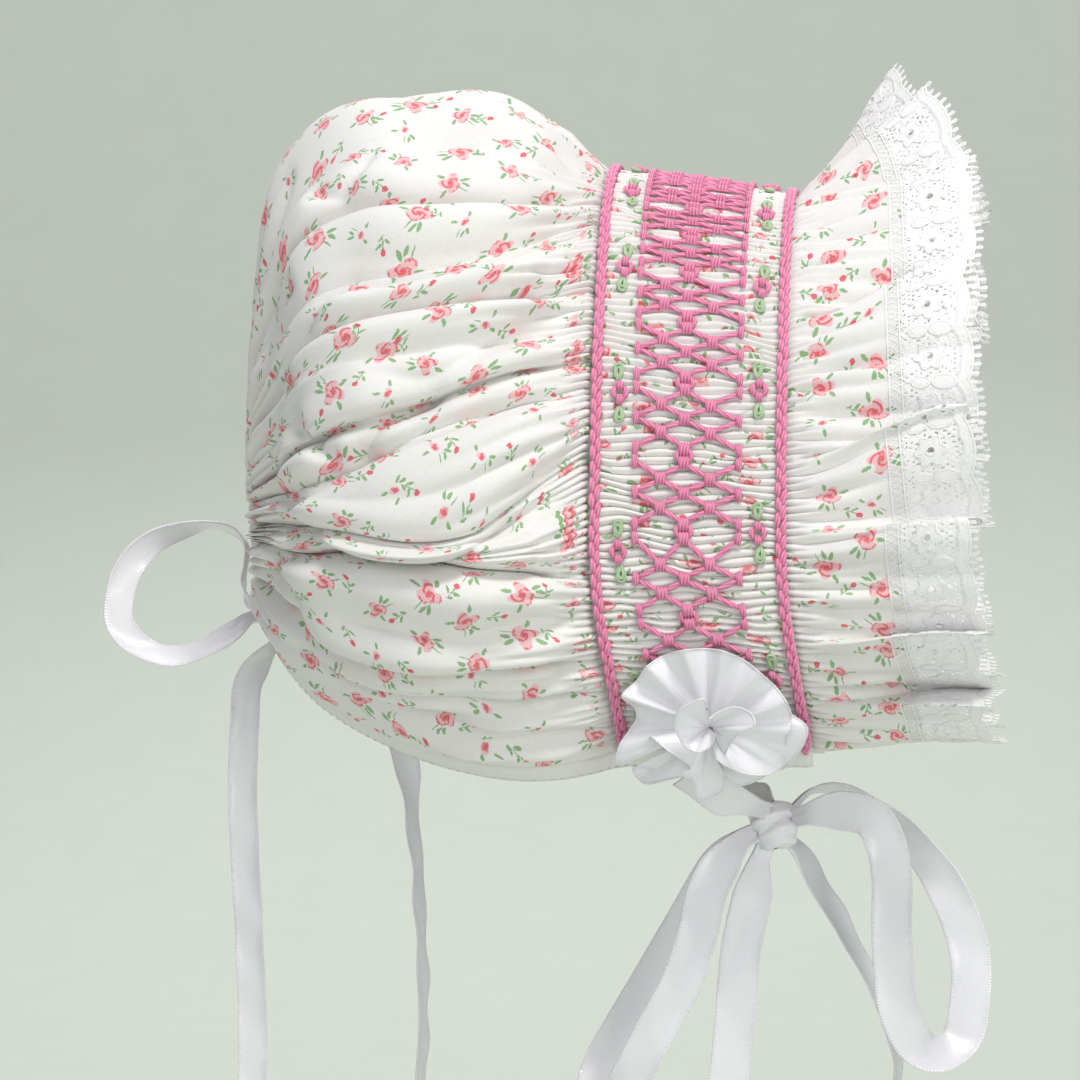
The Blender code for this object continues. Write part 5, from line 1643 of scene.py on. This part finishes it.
# The rosette's ribbon, from its hidden outer end to its middle: the free edge's places forward of
# and above the rosette's centre, as seen level from the side, and off the band, in millimetres.
ROSETTE_TIP = math.radians(15.0)
ROSETTE_OFF = 0.0032
Rim = namedtuple("Rim", "forward above off")
RIM = table(Rim, (
    (15.0, 4.5, 0.8), (19.5, 2.2, 1.6), (22.1, -0.2, 2.6), (21.3, -3.7, 2.6), (19.0, -7.0, 2.0),
    (16.6, -9.6, 0.9), (13.4, -10.6, 0.8), (10.9, -12.2, 1.4), (6.3, -13.6, 2.6), (3.6, -11.6, 4.5),
    (1.6, -7.2, 8.0), (3.6, -8.6, 8.6), (8.0, -10.6, 7.2), (12.5, -10.9, 5.2), (15.8, -9.3, 3.6),
    (16.9, -5.4, 2.2), (17.9, -1.2, 5.0), (18.6, 2.4, 2.8), (17.6, 6.0, 5.2), (14.8, 9.6, 2.2),
    (11.6, 12.8, 5.4), (8.0, 15.4, 1.8), (3.8, 17.4, 5.0), (-0.4, 17.9, 1.6), (-5.3, 17.6, 5.2),
    (-10.2, 16.2, 1.6), (-13.7, 13.8, 5.0), (-16.4, 10.4, 2.0), (-19.4, 7.2, 5.4), (-17.2, 4.6, 2.2),
    (-16.6, 1.9, 1.6), (-18.3, -0.9, 3.4), (-20.6, -4.6, 5.6), (-21.3, -8.2, 5.0), (-18.6, -8.4, 2.2),
    (-16.0, -6.4, 1.2), (-14.0, -4.0, 3.0), (-13.0, -2.2, 7.2), (-9.4, -5.0, 9.2), (-4.4, -8.8, 7.8),
    (-7.4, -10.4, 5.0), (-13.0, -9.9, 3.2), (-17.6, -9.6, 2.4), (-17.0, -11.9, 2.2), (-14.4, -13.3, 4.0),
    (-9.8, -12.2, 6.0), (-5.4, -11.4, 7.0), (-3.8, -13.2, 4.8), (-3.2, -16.8, 3.4), (-0.4, -16.4, 2.0),
    (2.6, -14.6, 2.8), (3.0, -11.6, 4.0), (3.4, -7.0, 6.6), (5.0, -3.6, 9.4), (7.6, -0.8, 11.6),
    (10.7, 1.0, 12.0), (9.6, 3.6, 9.8), (6.0, 4.8, 8.4), (2.4, 3.6, 8.4), (0.2, 2.4, 9.4),
    (-0.4, 6.6, 12.0), (-3.4, 5.8, 12.2), (-6.4, 4.0, 11.8), (-7.4, 0.6, 10.6), (-6.2, -2.6, 11.0),
    (-4.6, -4.4, 12.2), (-1.8, -5.3, 13.0), (1.0, -3.6, 12.4), (1.8, -0.9, 12.6),
))
RIM_INNER_FROM = 52
SEAM_RADIUS = 1.2


def rim_directions(rim):
    """Unit directions from the middle to the free edge, steadied so that the seam winds evenly."""
    turn = np.unwrap(np.arctan2(rim[:, 1], rim[:, 0]))
    window = np.hanning(25)
    padded = np.pad(turn, 12, mode="edge")
    steady = np.convolve(padded, window / window.sum(), mode="valid")
    return np.stack([np.cos(steady), np.sin(steady)], axis=1)


def build_rosette(node, side, material):
    """A satin ribbon gathered along one edge and wound up: a smooth fan above, deep flutes below."""
    centre, out, upward, forward = rosette_frame(side)
    samples = np.linspace(0.0, len(RIM) - 1.0, 9 * len(RIM))
    rim = curve(np.arange(len(RIM)), np.array(RIM), samples)
    way = rim_directions(rim)
    inner = smooth(RIM_INNER_FROM - 2.0, RIM_INNER_FROM + 8.0, samples)
    seam_height = 2.6 + 3.6 * inner
    seam = np.concatenate([way * SEAM_RADIUS * (1.0 - 0.99 * inner)[:, None], seam_height[:, None]], axis=1)
    share = np.linspace(0.0, 1.0, 15)[None, :, None]
    bulge = (1.1 + 0.5 * ripple(samples / 2.0, 91, 1.3))[:, None] * np.sin(np.pi * share[0, :, 0]) ** 0.8
    gathers = 0.42 * ridge(samples * 0.62 + 0.4 * ripple(samples, 93, 4.0), 0.7)[:, None]
    gathers = gathers * (1.0 - share[0, :, 0]) ** 0.7
    place = seam[:, None, :] + (rim - seam)[:, None, :] * share
    height = place[..., 2] + bulge * (1.0 - 0.6 * inner)[:, None]
    height = height + gathers * smooth(0.0, 0.12, share[0, :, 0])
    turn = math.radians(14.0) if side > 0.0 else 0.0
    ahead = place[..., 0] * math.cos(turn) - place[..., 1] * math.sin(turn)
    above = place[..., 0] * math.sin(turn) + place[..., 1] * math.cos(turn)
    facing = math.cos(ROSETTE_TIP) * out + math.sin(ROSETTE_TIP) * upward
    rising = math.cos(ROSETTE_TIP) * upward - math.sin(ROSETTE_TIP) * out
    above = (above - height * facing[2]) / rising[2]
    base = centre + out * ROSETTE_OFF
    grid = base + MM * (facing * height[..., None] + forward * ahead[..., None] + rising * above[..., None])
    line = running(grid[:, -1])
    width = ROSETTE_WIDTH * (1.0 - share[..., 0])
    piece = add_grid(node + "_ribbon", grid, line[:, None] + 0.0 * width, width, material)
    normal = unit(np.cross(np.gradient(grid, axis=0), np.gradient(grid, axis=1)))
    bundle = Bundle()
    tube, flat = tubes(grid[None, :, -1], normal[None, :, -1], SELVEDGE, SELVEDGE, 5)
    bundle.add(tube, flat * (1.0, 0.0005), True)
    edge = bundle.piece(node + "_edge", material, "satin")
    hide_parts(node)
    edge.parent = piece


def main():
    add_camera()
    add_studio()
    printed = cotton_material("rosebud_calico", True)
    plain = cotton_material("white_cotton", False)
    satin = satin_material()
    lace = lace_material()
    pink = floss_material("pink_embroidery_floss", PINK_FLOSS_LIT, PINK_FLOSS_GROOVE_SHADE)
    green = floss_material("green_embroidery_floss", GREEN_FLOSS_LIT, GREEN_FLOSS_GROOVE_SHADE)
    build_crown(printed)
    build_band(printed)
    build_cables(pink)
    build_trellis(pink)
    build_flowers(pink, green)
    build_ruffle(printed)
    build_lace(lace)
    build_casing(printed)
    build_binding("neck_binding_right_cloth", -1.0, plain)
    build_binding("neck_binding_left_cloth", 1.0, plain)
    build_rosette("rosette_right", -1.0, satin)
    build_rosette("rosette_left", 1.0, satin)
    build_ribbons(satin)


main()
